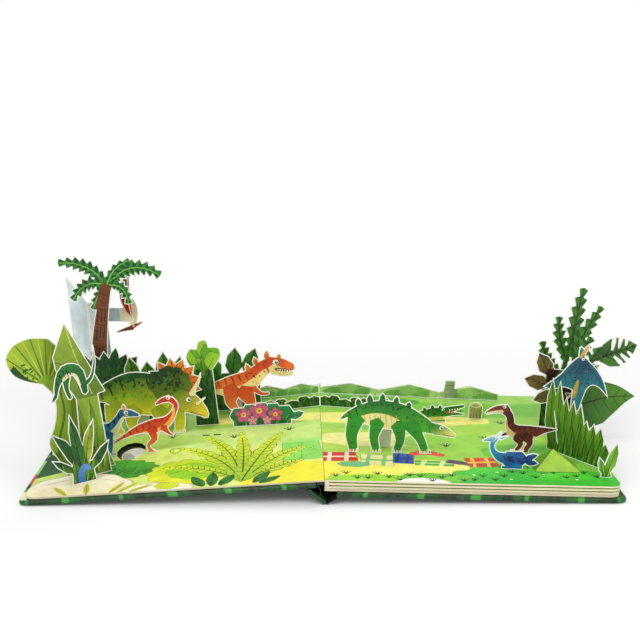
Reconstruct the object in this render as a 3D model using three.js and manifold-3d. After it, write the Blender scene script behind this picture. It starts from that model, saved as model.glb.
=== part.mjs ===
// A children's pop up book, lying open on a table at a spread of standing paper scenery.
// Millimetres. X runs across the spread with the gutter at x = 0, Y runs away from the reader
// and Z is up. The book stands on the fore edges of its covers and on the edge of its spine.

import * as THREE from 'three';
import { mergeVertices } from 'three/addons/utils/BufferGeometryUtils.js';
import Module from 'manifold-3d';

const wasm = await Module();
wasm.setup();

// Covers, spine and pages
const pageWidth = 212; // gutter to fore edge
const pageDepth = 198; // head to tail, along the gutter
const coverSquare = 4; // how far the boards reach past the pages on three sides
const boardThickness = 2.5;
const cornerRadius = 9;
const leftPageThickness = 1.4;
const leafThicknesses = [1.3, 1.4, 1.5, 1.6]; // from the open leaf down
const leafGaps = [1.1, 1.0, 0.4];
const bindingWidth = 3; // the glued strip that holds the leaves along the gutter
const spineWidth = 16;
const spineLeanDegrees = 40; // of the spine board under the open book, from level
const spineFoot = -0.4; // x of the spine edge that stands on the table
const frontCoverSetback = 6; // gutter to the spine side of the front board
const backCoverSetback = 9; // gutter to the spine side of the back board
const clothThickness = 0.5;
const glueGap = 0.3; // glue line between two pieces that lie on each other

// Paper scenery
const card = 0.6; // thickness of the standing sheets
const tabDepth = 6.5; // glued foot behind a standing sheet
const strutDepth = 12; // from a figure to the riser of the strut behind it
const strutWidth = 11;

// Openings cut in the left page
const peepHole = { x: -149, y: -22, width: 22, depth: 36 };
const slit = { x: -96, y: 2, width: 6, depth: 2.4, spacing: 9 };

const degrees = Math.PI / 180;

// Heights that follow from the stack of boards and leaves
const sum = (values) => values.reduce((total, value) => total + value, 0);
const blockThickness = sum(leafThicknesses) + sum(leafGaps);
const rightStack = blockThickness + glueGap + boardThickness;
const leftStack = leftPageThickness + glueGap + boardThickness;
const coverReach = pageWidth + coverSquare;
const coverDepth = pageDepth + 2 * coverSquare;
const spineLean = spineLeanDegrees * degrees;
const spineTop = spineWidth * Math.sin(spineLean) + boardThickness * Math.cos(spineLean);
const spineTopX = spineFoot - spineWidth * Math.cos(spineLean) + boardThickness * Math.sin(spineLean);

// The tilt of one side, which rests on its fore edge, for a given height of the gutter
function tiltOf(height, stack) {
  return Math.asin(height / Math.hypot(stack, coverReach)) - Math.atan2(stack, coverReach);
}

// The front board lies on the top edge of the spine, which sets the height of the gutter
function findGutterHeight() {
  let height = spineTop + glueGap + leftStack;
  for (let step = 0; step < 8; step += 1) {
    const tilt = tiltOf(height, leftStack);
    height = spineTop + glueGap + leftStack / Math.cos(tilt) - spineTopX * Math.tan(tilt);
  }
  return height;
}

const gutterHeight = findGutterHeight();
const leftTilt = tiltOf(gutterHeight, leftStack);
const rightTilt = tiltOf(gutterHeight, rightStack);

// Colours of the plain model
const colours = {
  coverGreen: 0x1d5a2c, pagePaper: 0xe6ee8a, leafPaper: 0xf2e6c4, cloth: 0x16301f,
  leafGreen: 0x3f8f2a, darkGreen: 0x1f5a24, olive: 0x8aa63a, lime: 0x9fd23a, brown: 0x6b4022,
  paleBlue: 0xdbe8ea, red: 0xd0472a, orange: 0xe08a3a, blue: 0x2f86a8, teal: 0x1f7f86,
  maroon: 0x6e2a22, hornedGreen: 0x7d9a24, grass: 0x7fb02e, strut: 0xeeeee6, pink: 0xcf6a8c,
};

function finish(colour) {
  return new THREE.MeshStandardMaterial({ color: colours[colour], roughness: 0.6, metalness: 0 });
}

// Solids
function toSolid(geometry) {
  geometry.deleteAttribute('normal');
  geometry.deleteAttribute('uv');
  const merged = mergeVertices(geometry);
  return new wasm.Manifold(new wasm.Mesh({
    numProp: 3,
    vertProperties: Float32Array.from(merged.attributes.position.array),
    triVerts: Uint32Array.from(merged.index.array),
  }));
}

function toGeometry(solid) {
  const mesh = solid.getMesh();
  const geometry = new THREE.BufferGeometry();
  geometry.setAttribute('position', new THREE.BufferAttribute(Float32Array.from(mesh.vertProperties), 3));
  geometry.setIndex(new THREE.BufferAttribute(Uint32Array.from(mesh.triVerts), 1));
  geometry.computeVertexNormals();
  return geometry;
}

function join(solids) {
  return solids.reduce((whole, solid) => whole.add(solid));
}

function addMesh(parent, name, solid, colour) {
  const mesh = new THREE.Mesh(toGeometry(solid), finish(colour));
  mesh.name = name;
  parent.add(mesh);
  return mesh;
}

function moved(solid, x, y, z, turnX = 0, turnY = 0, turnZ = 0) {
  const matrix = new THREE.Matrix4().makeRotationFromEuler(
    new THREE.Euler(turnX * degrees, turnY * degrees, turnZ * degrees, 'ZYX'),
  );
  matrix.setPosition(x, y, z);
  return solid.transform(matrix.elements);
}

// A flat plate: the outline lies in X and Y, and the plate rises from z = 0
function plate(shape, thickness, curveSegments = 6) {
  return toSolid(new THREE.ExtrudeGeometry(shape, { depth: thickness, bevelEnabled: false, curveSegments }));
}

// A hung sheet: outlines in X (right) and Z (up), printed face towards -Y
function hungSheet(shapes, curveSegments = 3) {
  const plates = shapes.map((shape) => plate(shape, card, curveSegments));
  return moved(join(plates), 0, 0, 0, 90);
}

// A standing sheet: the same, cut level at its base
function sheet(shapes, curveSegments = 3) {
  const reach = pageWidth;
  const below = plate(polygon([-reach, -reach], [reach, -reach], [reach, 0], [-reach, 0]), 3 * card);
  return hungSheet(shapes, curveSegments).subtract(moved(below, 0, card, 0, 90));
}

// A strip with the same section all along Y, from y = 0 backwards
function strip(points, depth) {
  const shape = new THREE.Shape(points.map(([x, z]) => new THREE.Vector2(x, z)));
  return moved(plate(shape, depth), 0, depth, 0, 90);
}

// A thin bent sheet seen from its end: a smooth line through the points, given a thickness
function bentLine(points, thickness, divisions = 4) {
  const path = new THREE.SplineCurve(points.map(([x, y]) => new THREE.Vector2(x, y)));
  const count = (points.length - 1) * divisions;
  const left = [];
  const right = [];
  for (let i = 0; i <= count; i += 1) {
    const point = path.getPoint(i / count);
    const tangent = path.getTangent(i / count);
    left.push([point.x - tangent.y * thickness / 2, point.y + tangent.x * thickness / 2]);
    right.unshift([point.x + tangent.y * thickness / 2, point.y - tangent.x * thickness / 2]);
  }
  return left.concat(right);
}

// Outlines
function polygon(...points) {
  return new THREE.Shape(points.map(([x, y]) => new THREE.Vector2(x, y)));
}

// Straight to a corner [x, y], or smoothly through a list of points [[x, y], ...]
function drawn(start, ...pieces) {
  const shape = new THREE.Shape();
  shape.moveTo(...start);
  for (const piece of pieces) {
    if (Array.isArray(piece[0])) shape.splineThru(piece.map(([x, y]) => new THREE.Vector2(x, y)));
    else shape.lineTo(...piece);
  }
  return shape;
}

function disc(x, y, radiusX, radiusY = radiusX, turn = 0) {
  const shape = new THREE.Shape();
  shape.absellipse(x, y, radiusX, radiusY, 0, 2 * Math.PI, false, turn * degrees);
  return shape;
}

// A limb, neck or tail: points [x, y, radius] along its middle, with rounded ends
function limb(points, divisions = 3) {
  const path = new THREE.CatmullRomCurve3(points.map(([x, y, r]) => new THREE.Vector3(x, y, r)));
  const count = (points.length - 1) * divisions;
  const left = [];
  const right = [];
  for (let i = 0; i <= count; i += 1) {
    const point = path.getPoint(i / count);
    const tangent = path.getTangent(i / count);
    const length = Math.hypot(tangent.x, tangent.y);
    const sideX = -tangent.y / length * point.z;
    const sideY = tangent.x / length * point.z;
    left.push([point.x + sideX, point.y + sideY]);
    right.unshift([point.x - sideX, point.y - sideY]);
    if (i === 0) right.push([point.x - sideY * 0.7, point.y + sideX * 0.7]);
    if (i === count) left.push([point.x + sideY * 0.7, point.y - sideX * 0.7]);
  }
  return polygon(...left, ...right);
}

// A pointed leaf from its stalk, with a bend to one side
function leaf(x, y, angle, length, width, bend = 0) {
  const alongX = Math.cos(angle * degrees);
  const alongY = Math.sin(angle * degrees);
  const at = (far, side) => [x + alongX * far - alongY * side, y + alongY * far + alongX * side];
  const shape = new THREE.Shape();
  shape.moveTo(...at(0, -width * 0.12));
  shape.bezierCurveTo(...at(length * 0.3, bend - width * 0.75), ...at(length * 0.75, bend - width * 0.5), ...at(length, 0));
  shape.bezierCurveTo(...at(length * 0.75, bend + width * 0.5), ...at(length * 0.3, bend + width * 0.75), ...at(0, width * 0.12));
  return shape;
}

// A feathered frond: the middle rib is a curve from start past bend to end, with teeth on both sides
function frond(start, bend, end, width, teeth) {
  const rib = new THREE.QuadraticBezierCurve(
    new THREE.Vector2(...start), new THREE.Vector2(...bend), new THREE.Vector2(...end),
  );
  const side = (direction) => {
    const points = [];
    for (let i = 0; i < teeth; i += 1) {
      const half = width / 2 * (0.35 + 0.65 * Math.sin(Math.PI * (0.12 + 0.82 * (i + 0.5) / teeth)));
      const notch = rib.getPoint(i / teeth);
      const tip = rib.getPoint((i + 0.8) / teeth);
      const along = rib.getTangent((i + 0.5) / teeth);
      points.push([notch.x - along.y * half * 0.55 * direction, notch.y + along.x * half * 0.55 * direction]);
      points.push([tip.x - along.y * half * direction, tip.y + along.x * half * direction]);
    }
    return points;
  };
  return polygon(...side(1), end, ...side(-1).reverse());
}

// A disc with a row of points around part of its edge
function spikedDisc(x, y, radius, reach, count, from, to) {
  const points = [];
  for (let i = 0; i <= 2 * count; i += 1) {
    const angle = (from + (to - from) * i / (2 * count)) * degrees;
    const far = radius + (i % 2) * reach;
    points.push([x + far * Math.cos(angle), y + far * Math.sin(angle)]);
  }
  for (let i = 1; i < 8; i += 1) {
    const angle = (to + (360 - (to - from)) * i / 8) * degrees;
    points.push([x + radius * Math.cos(angle), y + radius * Math.sin(angle)]);
  }
  return polygon(...points);
}

// A row of upright pointed leaves on a low band, from x = 0 to the given length
function leafyBand(length, band, height, count, spread) {
  const shapes = [polygon([0, 0], [length, 0], [length, band], [0, band])];
  for (let i = 0; i < count; i += 1) {
    const x = length * (i + 0.5) / count;
    const tall = (height - band * 0.5) * (0.8 + 0.2 * Math.sin(i * 2.3));
    shapes.push(leaf(x, band * 0.5, 90 + spread * Math.sin(i * 1.7), tall, length / count * 1.5));
  }
  return shapes;
}

// Low hills: a band with a smooth wavy top
function hills(length, low, high, waves) {
  const top = [];
  for (let i = 0; i <= 4 * waves; i += 1) {
    const rise = 0.5 - 0.5 * Math.cos(Math.PI * i / 2);
    const fade = 0.6 + 0.4 * Math.cos(Math.PI * i / (8 * waves));
    top.push([length * (1 - i / (4 * waves)), low + (high - low) * rise * fade]);
  }
  return polygon([0, 0], [length, 0], ...top);
}

// A glued foot behind a standing sheet, between two places along its base
function foot(from, to) {
  return moved(plate(polygon([from, -card], [to, -card], [to, tabDepth], [from, tabDepth]), card), 0, 0, 0);
}

// The strut behind a figure: glued to its back at the top, bent down to a foot on the page
function strutSolid(height, depth = strutDepth, width = strutWidth) {
  const front = glueGap;
  const tongue = 9;
  const profile = [
    [front, height - tongue], [front, height], [depth, height], [depth, card],
    [depth + tabDepth, card], [depth + tabDepth, 0], [depth - card, 0], [depth - card, height - card],
    [front + card, height - card], [front + card, height - tongue],
  ];
  const shape = polygon(...profile.reverse());
  return moved(plate(shape, width), -width / 2, 0, 0, 90, 0, 90);
}

// Sides of the open book
const book = new THREE.Group();
const leftSide = new THREE.Group();
const rightSide = new THREE.Group();
leftSide.position.z = gutterHeight;
leftSide.rotation.y = -leftTilt;
rightSide.position.z = gutterHeight;
rightSide.rotation.y = rightTilt;
book.add(leftSide, rightSide);

// Places on a page, as shares of its width from the gutter and of its depth from the middle
function stand(side, name, solid, colour, across, away, yaw = 0, lean = 0) {
  const mesh = addMesh(side, name, solid, colour);
  mesh.position.set(across * pageWidth, away * pageDepth, glueGap);
  mesh.rotation.set(-lean * degrees, 0, yaw * degrees, 'ZYX');
  return mesh;
}

// A board or leaf: straight along the gutter, with rounded corners at the fore edge
function boardShape(start, end, depth, radius) {
  const near = -depth / 2;
  const far = depth / 2;
  const side = Math.sign(end - start);
  const shape = new THREE.Shape();
  shape.moveTo(start, near);
  shape.lineTo(end - side * radius, near);
  shape.quadraticCurveTo(end, near, end, near + radius);
  shape.lineTo(end, far - radius);
  shape.quadraticCurveTo(end, far, end - side * radius, far);
  shape.lineTo(start, far);
  return shape;
}

function buildCovers() {
  const frontBoard = boardShape(-frontCoverSetback, -coverReach, coverDepth, cornerRadius);
  const frontCover = addMesh(leftSide, 'front_cover', plate(frontBoard, boardThickness), 'coverGreen');
  frontCover.position.z = -leftStack;
  const backBoard = boardShape(backCoverSetback, coverReach, coverDepth, cornerRadius);
  const backCover = addMesh(rightSide, 'back_cover', plate(backBoard, boardThickness), 'coverGreen');
  backCover.position.z = -rightStack;
}

function buildLeftPage() {
  const cutDepth = 3 * leftPageThickness;
  const holes = [disc(peepHole.x, peepHole.y, peepHole.width / 2, peepHole.depth / 2)];
  for (const step of [0, 1]) {
    const x = slit.x + step * slit.spacing;
    holes.push(polygon(
      [x, slit.y], [x + slit.width, slit.y],
      [x + slit.width, slit.y + slit.depth], [x, slit.y + slit.depth],
    ));
  }
  const whole = plate(boardShape(-glueGap, -pageWidth, pageDepth, cornerRadius), leftPageThickness);
  const cut = holes.reduce(
    (page, hole) => page.subtract(moved(plate(hole, cutDepth), 0, 0, -leftPageThickness)), whole,
  );
  const page = addMesh(leftSide, 'left_page', cut, 'pagePaper');
  page.position.z = -leftPageThickness;
}

function buildPageBlock() {
  const solids = [];
  let top = 0;
  leafThicknesses.forEach((thickness, index) => {
    const leafSolid = plate(boardShape(0, pageWidth, pageDepth, cornerRadius), thickness);
    solids.push(moved(leafSolid, 0, 0, top - thickness));
    top -= thickness + (leafGaps[index] ?? 0);
  });
  const binding = new THREE.BoxGeometry(bindingWidth, pageDepth, blockThickness);
  solids.push(moved(toSolid(binding), bindingWidth / 2, 0, -blockThickness / 2));
  addMesh(rightSide, 'page_block', join(solids), 'leafPaper');
}

// The spine board and the cloth strips that hinge it, in the book's own frame
const spineAlong = [-Math.cos(spineLean), Math.sin(spineLean)];
const spineInward = [Math.sin(spineLean), Math.cos(spineLean)];

function onSpine(along, inward) {
  return [
    spineFoot + spineAlong[0] * along + spineInward[0] * inward,
    spineAlong[1] * along + spineInward[1] * inward,
  ];
}

function onSide(tilt, x, z) {
  return [x * Math.cos(tilt) + z * Math.sin(tilt), gutterHeight - x * Math.sin(tilt) + z * Math.cos(tilt)];
}

function buildSpine() {
  const board = strip([
    onSpine(0, 0), onSpine(0, boardThickness),
    onSpine(spineWidth, boardThickness), onSpine(spineWidth, 0),
  ], coverDepth);
  const spineBoard = addMesh(book, 'spine_board', board, 'coverGreen');
  spineBoard.position.y = -coverDepth / 2;

  const clear = boardThickness + glueGap + clothThickness / 2;
  const frontEdge = -frontCoverSetback + glueGap + clothThickness / 2;
  const frontCloth = strip(bentLine([
    onSide(-leftTilt, frontEdge, -leftStack + boardThickness * 0.7),
    onSide(-leftTilt, frontEdge + 1.6, -leftStack - 0.6),
    onSpine(7.2, clear + 1.4),
    onSpine(9.2, clear),
    onSpine(12, clear),
  ], clothThickness), coverDepth);
  const frontHinge = addMesh(book, 'front_hinge_cloth', frontCloth, 'cloth');
  frontHinge.position.y = -coverDepth / 2;

  const under = -rightStack - glueGap - clothThickness / 2;
  const backEdge = backCoverSetback - glueGap - clothThickness / 2;
  const backCloth = strip(bentLine([
    onSpine(-glueGap - clothThickness / 2, boardThickness * 0.6),
    onSide(rightTilt, backCoverSetback - 5, under - 3.2),
    onSide(rightTilt, backEdge, under - 0.6),
    onSide(rightTilt, backEdge, -rightStack + boardThickness * 0.6),
  ], clothThickness), coverDepth);
  const backHinge = addMesh(book, 'back_hinge_cloth', backCloth, 'cloth');
  backHinge.position.y = -coverDepth / 2;
}

// Sheets that are folded at the gutter and glued to both pages
function gutterSheet(name, colour, away, leftShapes, leftYaw, rightShapes, rightYaw, leftFoot, rightFoot) {
  const half = (shapes, tabs, mirror) => {
    const flat = join([sheet(shapes), foot(...tabs)]);
    return mirror ? flat.mirror([1, 0, 0]) : flat;
  };
  const left = new THREE.Matrix4().makeRotationY(-leftTilt)
    .multiply(new THREE.Matrix4().makeRotationZ(leftYaw * degrees));
  const right = new THREE.Matrix4().makeRotationY(rightTilt)
    .multiply(new THREE.Matrix4().makeRotationZ(-rightYaw * degrees));
  const solid = half(leftShapes, leftFoot, true).transform(left.elements)
    .add(half(rightShapes, rightFoot, false).transform(right.elements));
  const mesh = addMesh(book, name, solid, colour);
  mesh.position.set(0, away * pageDepth, gutterHeight + glueGap);
}

function buildGutterSheets() {
  const bushHeight = 12;
  const crease = polygon([-1, 0], [1, 0], [1, 9], [-1, 9]);
  gutterSheet(
    'bush_strip', 'darkGreen', 0.29,
    [crease, ...leafyBand(48, 6, bushHeight, 5, 24)], 10,
    [crease, ...leafyBand(68, 6, bushHeight, 8, 22)], 8,
    [6, 40], [6, 60],
  );
  gutterSheet(
    'backdrop_hills', 'lime', 0.465,
    [crease, hills(62, 7, 12, 2)], 6,
    [crease, hills(160, 6, 13, 3), polygon([110, 0], [121, 0], [121, 17], [112, 17])], 3,
    [6, 54], [6, 150],
  );
}

// Animals
function hornedDinosaur() {
  return join([
    sheet([
      limb([[-50, 34, 0.8], [-40, 34, 3], [-28, 37, 9], [-10, 37, 17], [8, 34, 18], [24, 31, 14], [34, 28, 10]]),
      limb([[28, 30, 9], [38, 25, 9], [47, 18, 5.5], [51, 13, 2.6]]),
      spikedDisc(27, 42, 17, 6, 8, -30, 190),
      limb([[40, 32, 2.6], [46, 42, 1.6], [49, 50, 0.6]], 2),
      limb([[44, 24, 2], [51, 29, 0.6]], 2),
      limb([[-22, 26, 9], [-25, 14, 6], [-22, 5, 4.4], [-20, 2.4, 4.6]]),
      limb([[-8, 22, 8], [-10, 12, 5], [-8, 3, 4]]),
      limb([[14, 20, 8], [13, 10, 5], [14, 3, 4]]),
      limb([[26, 22, 8], [29, 12, 5], [28, 3, 4.2]]),
      polygon([-26, 0], [-16, 0], [-16, 3], [-26, 3]),
      polygon([-13, 0], [-4, 0], [-4, 3], [-13, 3]),
      polygon([9, 0], [18, 0], [18, 3], [9, 3]),
      polygon([23, 0], [33, 0], [33, 3], [23, 3]),
    ]),
    foot(-25, -17), foot(10, 17), foot(24, 32),
  ]);
}

function orangeTheropod() {
  return join([
    sheet([
      limb([[-42, 26, 1], [-28, 29, 4], [-12, 30, 9], [2, 33, 9.5], [12, 40, 7.5], [20, 46, 6.5], [28, 47, 6]]),
      limb([[22, 47, 7], [32, 46, 6], [41, 43, 4]]),
      limb([[24, 43, 5], [34, 39, 3.4], [41, 38, 1.6]]),
      leaf(6, 40, 110, 10, 6), leaf(12, 46, 105, 9, 6), leaf(20, 50, 85, 10, 6), leaf(29, 49, 70, 8, 5),
      limb([[8, 27, 3], [14, 22, 2], [20, 22, 1.4]], 2),
      limb([[-10, 27, 8], [-12, 16, 5], [-8, 9, 3], [-9, 2.4, 2.8]]),
      limb([[0, 25, 8], [4, 15, 5], [2, 8, 3], [4, 2.4, 2.8]]),
      polygon([-12, 0], [-3, 0], [-6, 3.4], [-12, 3.4]),
      polygon([1, 0], [11, 0], [7, 3.4], [1, 3.4]),
    ]),
    foot(-12, -5), foot(1, 8),
  ]);
}

function blueDinosaur() {
  return join([
    sheet([
      limb([[-27, 38, 0.8], [-23, 39, 2], [-19, 33, 3.6], [-14, 25, 5.6], [-5, 20, 7.4], [5, 22, 6], [11, 29, 3.8], [15, 34, 3.6]]),
      limb([[13, 34, 4], [20, 34, 3.4], [27, 32, 1.6]]),
      limb([[-12, 20, 5], [-14, 11, 3.4], [-12, 3, 2.6]]),
      limb([[2, 18, 4.4], [3, 10, 2.8], [2, 3, 2.4]]),
      polygon([-15, 0], [-8, 0], [-8, 3], [-15, 3]),
      polygon([0, 0], [7, 0], [7, 3], [0, 3]),
      leaf(17, 36, 100, 6, 4),
    ]),
    foot(-15, -9), foot(0, 6),
  ]);
}

function redDinosaur() {
  return join([
    sheet([
      limb([[-36, 8, 0.7], [-24, 15, 2], [-12, 20, 4], [0, 22, 6], [9, 25, 4.6], [15, 32, 2.6], [17, 38, 2.4], [13, 43, 2.8]]),
      limb([[13, 43, 3], [7, 42, 2.4], [2, 39, 1.2]], 2),
      limb([[-3, 19, 4.4], [-2, 11, 3], [-7, 6, 1.9], [-5, 1.8, 1.8]]),
      limb([[6, 20, 3.2], [10, 15, 1.6], [13, 13, 1]], 2),
      polygon([-8, 0], [1, 0], [-3, 2.6], [-8, 2.6]),
    ]),
    foot(-8, -2),
  ]);
}

function longNeckDinosaur() {
  return join([
    sheet([
      limb([[-40, 26, 0.9], [-34, 30, 3], [-26, 31, 7], [-12, 31, 11], [4, 29, 11], [18, 25, 8], [28, 21, 5], [34, 20, 4.4]]),
      limb([[32, 20, 5], [40, 18, 4], [47, 15, 2]]),
      leaf(-26, 35, 100, 9, 6), leaf(-18, 38, 95, 9, 6), leaf(-9, 39, 90, 9, 6), leaf(1, 37, 85, 9, 6), leaf(10, 34, 78, 8, 6),
      limb([[-28, 27, 7], [-31, 14, 5], [-29, 3, 3.8]]),
      limb([[-12, 24, 6], [-14, 12, 4], [-12, 3, 3.4]]),
      limb([[4, 22, 6], [6, 11, 4], [4, 3, 3.4]]),
      limb([[14, 22, 6], [21, 12, 4], [25, 3, 3.4]]),
      polygon([-33, 0], [-25, 0], [-25, 3], [-33, 3]),
      polygon([-16, 0], [-8, 0], [-8, 3], [-16, 3]),
      polygon([0, 0], [8, 0], [8, 3], [0, 3]),
      polygon([21, 0], [30, 0], [30, 3], [21, 3]),
    ]),
    foot(-33, -26), foot(1, 7), foot(22, 29),
  ]);
}

function maroonTheropod() {
  return join([
    sheet([
      limb([[26, 20, 0.8], [16, 19, 3], [6, 17, 6], [-4, 17, 6.4], [-10, 22, 4.4], [-11, 30, 3.4], [-16, 35, 3.6]]),
      limb([[-13, 35, 4.2], [-21, 35, 3.4], [-29, 32, 1.8]]),
      limb([[3, 14, 5], [6, 8, 3], [3, 2.4, 2.2]]),
      limb([[-4, 13, 4.4], [-1, 7, 2.6], [-4, 2.2, 2]]),
      limb([[-10, 17, 2.4], [-16, 14, 1.2]], 2),
      polygon([-1, 0], [6, 0], [6, 2.6], [-1, 2.6]),
      polygon([-9, 0], [-2, 0], [-2, 2.4], [-6, 2.4]),
    ]),
    foot(0, 6), foot(-8, -2.5),
  ]);
}

function hatchling() {
  return join([
    sheet([
      disc(9, 8, 12, 7.4),
      limb([[8, 8, 6], [0, 9, 4.4], [-6, 13, 2.6], [-8, 19, 2.2], [-6, 23, 2.4]]),
      limb([[-5, 23.5, 2.8], [-10, 23, 2.2], [-15, 22, 0.9]], 2),
      leaf(-5, 24, 60, 7, 3), leaf(-4, 23, 20, 8, 3),
      leaf(16, 8, 20, 12, 6), leaf(16, 6, -5, 12, 6),
      polygon([0, 0], [16, 0], [16, 3], [0, 3]),
    ]),
    foot(2, 14),
  ]);
}

function crocodile() {
  return join([
    sheet([
      limb([[-22, 5, 0.8], [-12, 6, 3], [0, 8, 5], [10, 9, 4.4]]),
      limb([[8, 9, 4.4], [16, 12, 3], [26, 15, 1.4]], 2),
      limb([[8, 8, 4], [17, 8, 2.2], [26, 7.4, 1]], 2),
      polygon([-8, 0], [12, 0], [10, 7], [-6, 7]),
      leaf(-6, 9, 110, 5, 4), leaf(0, 11, 100, 5, 4), leaf(6, 11, 90, 5, 4),
    ]),
    foot(-6, 10),
  ]);
}

// Plants
function palmTree() {
  const crown = [18, 116];
  return join([
    sheet([
      limb([[0, 4, 10.5], [2, 30, 8.6], [8, 74, 6.4], [16, 110, 5], [18, 116, 5]]),
      polygon([-10.4, 0], [10.4, 0], [10.4, 5], [-10.4, 5]),
      frond(crown, [6, 138], [-21, 137], 15, 8),
      frond(crown, [40, 140], [64, 121], 17, 9),
      frond(crown, [0, 124], [-12, 104], 14, 7),
      frond(crown, [10, 110], [4, 95], 11, 5),
      frond(crown, [34, 118], [35, 98], 13, 6),
      frond(crown, [24, 132], [40, 136], 10, 5),
    ]),
    foot(-9, 9),
  ]);
}

function palmBackSupport() {
  const crease = polygon([-1, 0], [1, 0], [1, 98], [-1, 98]);
  const left = sheet([crease, polygon([-20, 0], [0, 0], [0, 98], [-20, 121])]);
  const right = sheet([
    crease,
    polygon([0, 0], [15, 0], [15, 81], [34, 79], [34, 91], [15, 93], [12, 100], [0, 98]),
  ]);
  return join([
    moved(join([left, foot(-18, -3)]), 0, 0, 0, 0, 0, -26),
    moved(join([right, foot(2, 13)]), 0, 0, 0, 0, 0, 6),
  ]);
}

// A flying reptile folded down the middle, glued to the arm of the support behind the palm
function pteranodon() {
  const wing = [
    drawn([0, 8], [[-7, 20], [-9, 34], [-3, 48], [8, 58]], [[1, 46], [-1, 34], [1, 20], [5, 9]]),
  ];
  const body = [
    limb([[0, 2, 2.6], [1, 10, 3.4], [2, 18, 3.2], [1, 26, 2]]),
    limb([[0, 2, 2.6], [-6, 1, 1.8], [-14, -1, 0.7]], 2),
    limb([[1, 3, 1.8], [8, 6, 0.8]], 2),
    polygon([-10, 8], [1, 8], [1, 18], [-10, 18]),
  ];
  const turnedWing = (turn) => moved(hungSheet(wing), 0, 0, 0, 0, 0, turn);
  return join([hungSheet(body), turnedWing(24), turnedWing(80)]);
}

function palmBush() {
  const shapes = [polygon([-16, 0], [16, 0], [19, 48], [-19, 48])];
  for (let i = 0; i < 7; i += 1) {
    const x = -15 + 5 * i;
    shapes.push(leaf(x, 44, 135 - 15 * i, 20 + 3 * Math.sin(i * 2), 10));
  }
  return join([sheet(shapes), foot(-14, 14)]);
}

function leafRow() {
  const shapes = [polygon([-23, 0], [23, 0], [23, 40], [-23, 40])];
  const heights = [60, 55, 63, 58];
  heights.forEach((height, i) => {
    shapes.push(leaf(-17 + 11.5 * i, 30, 96 - 5 * i, height - 30, 15));
  });
  return join([sheet(shapes), foot(-21, 21)]);
}

function frillLeaf() {
  return join([
    sheet([
      polygon([-10, 0], [10, 0], [8, 50], [-8, 50]),
      drawn([-8, 48], [[-13, 58], [-10, 66], [-4, 66]], [[-2, 72], [4, 73], [6, 67]], [[14, 66], [15, 58], [8, 48]]),
    ]),
    foot(-8, 8),
  ]);
}

function archLeaves() {
  return join([
    sheet([
      polygon([-20, 0], [20, 0], [20, 34], [-20, 34]),
      leaf(-14, 30, 118, 26, 16), leaf(-3, 30, 82, 27, 16), leaf(8, 30, 68, 27, 15), leaf(16, 30, 40, 24, 13),
    ]),
    foot(-18, 18),
  ]);
}

function flowerBush() {
  const shapes = [polygon([-24, 0], [24, 0], [24, 10], [-24, 10])];
  for (let i = 0; i < 5; i += 1) {
    const height = 14 + 5 * Math.sin(Math.PI * (i + 0.5) / 5);
    shapes.push(disc(-19 + 9.5 * i, height - 6, 8, 8));
  }
  shapes.push(leaf(22, 5, 20, 14, 8));
  return join([sheet(shapes), foot(-20, 20)]);
}

function leftWing() {
  return join([
    sheet([drawn(
      [0, 0], [[-8, 15], [-13, 28], [-8, 40], [-5, 52], [-6, 64], [-12, 73]],
      [[-24, 78], [-32, 85], [-35, 96], [-29, 105], [-17, 108.5], [-4, 106]],
      [4, 96], [14, 70], [24, 30], [34, 0],
    )]),
    foot(4, 32),
  ]);
}

function kitePanel() {
  return join([
    sheet([
      polygon([6, 118], [-5, 94], [-4, 84], [8, 60], [20, 60], [30, 62]),
      polygon([6, 0], [28, 0], [24, 64], [8, 64]),
    ]),
    foot(9, 26),
  ]);
}

function archedDinosaur() {
  return hungSheet([
    limb([[-6, 66, 1.6], [-4, 74, 2.6], [2, 83, 4.4], [10, 82, 4.6], [14, 72, 3.4], [15, 64, 2.4]]),
    limb([[14, 70, 2.6], [20, 74, 1.8], [24, 86, 1.1], [24, 98, 0.6]]),
    limb([[3, 80, 3.6], [2, 70, 2.2], [4, 62, 1.8]]),
    limb([[-6, 66, 2], [-9, 62, 1.2]], 2),
  ]);
}

function fernCluster() {
  return join([
    sheet([
      polygon([-4, 0], [14, 0], [12, 16], [-3, 16]),
      leaf(2, 10, 118, 36, 9, -3), leaf(4, 10, 96, 44, 9), leaf(7, 10, 76, 38, 9, 2),
      leaf(0, 8, 140, 22, 7), leaf(10, 8, 52, 26, 8),
    ]),
    foot(-2, 12),
  ]);
}

function monsteraLeaf(x, y, angle, length, width) {
  const blade = plate(leaf(x, y, angle, length, width), card, 5);
  const cuts = [];
  for (const side of [-1, 1]) {
    for (let i = 0; i < 3; i += 1) {
      const far = length * (0.38 + 0.17 * i);
      const cut = moved(
        plate(leaf(0, 0, 0, width * 0.5, 2.6), card * 3, 2), 0, 0, -card, 0, 0, side * 62,
      );
      cuts.push(moved(moved(cut, far, side * width * 0.12, 0), x, y, 0, 0, 0, angle));
    }
  }
  return cuts.reduce((whole, cut) => whole.subtract(cut), blade);
}

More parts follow.
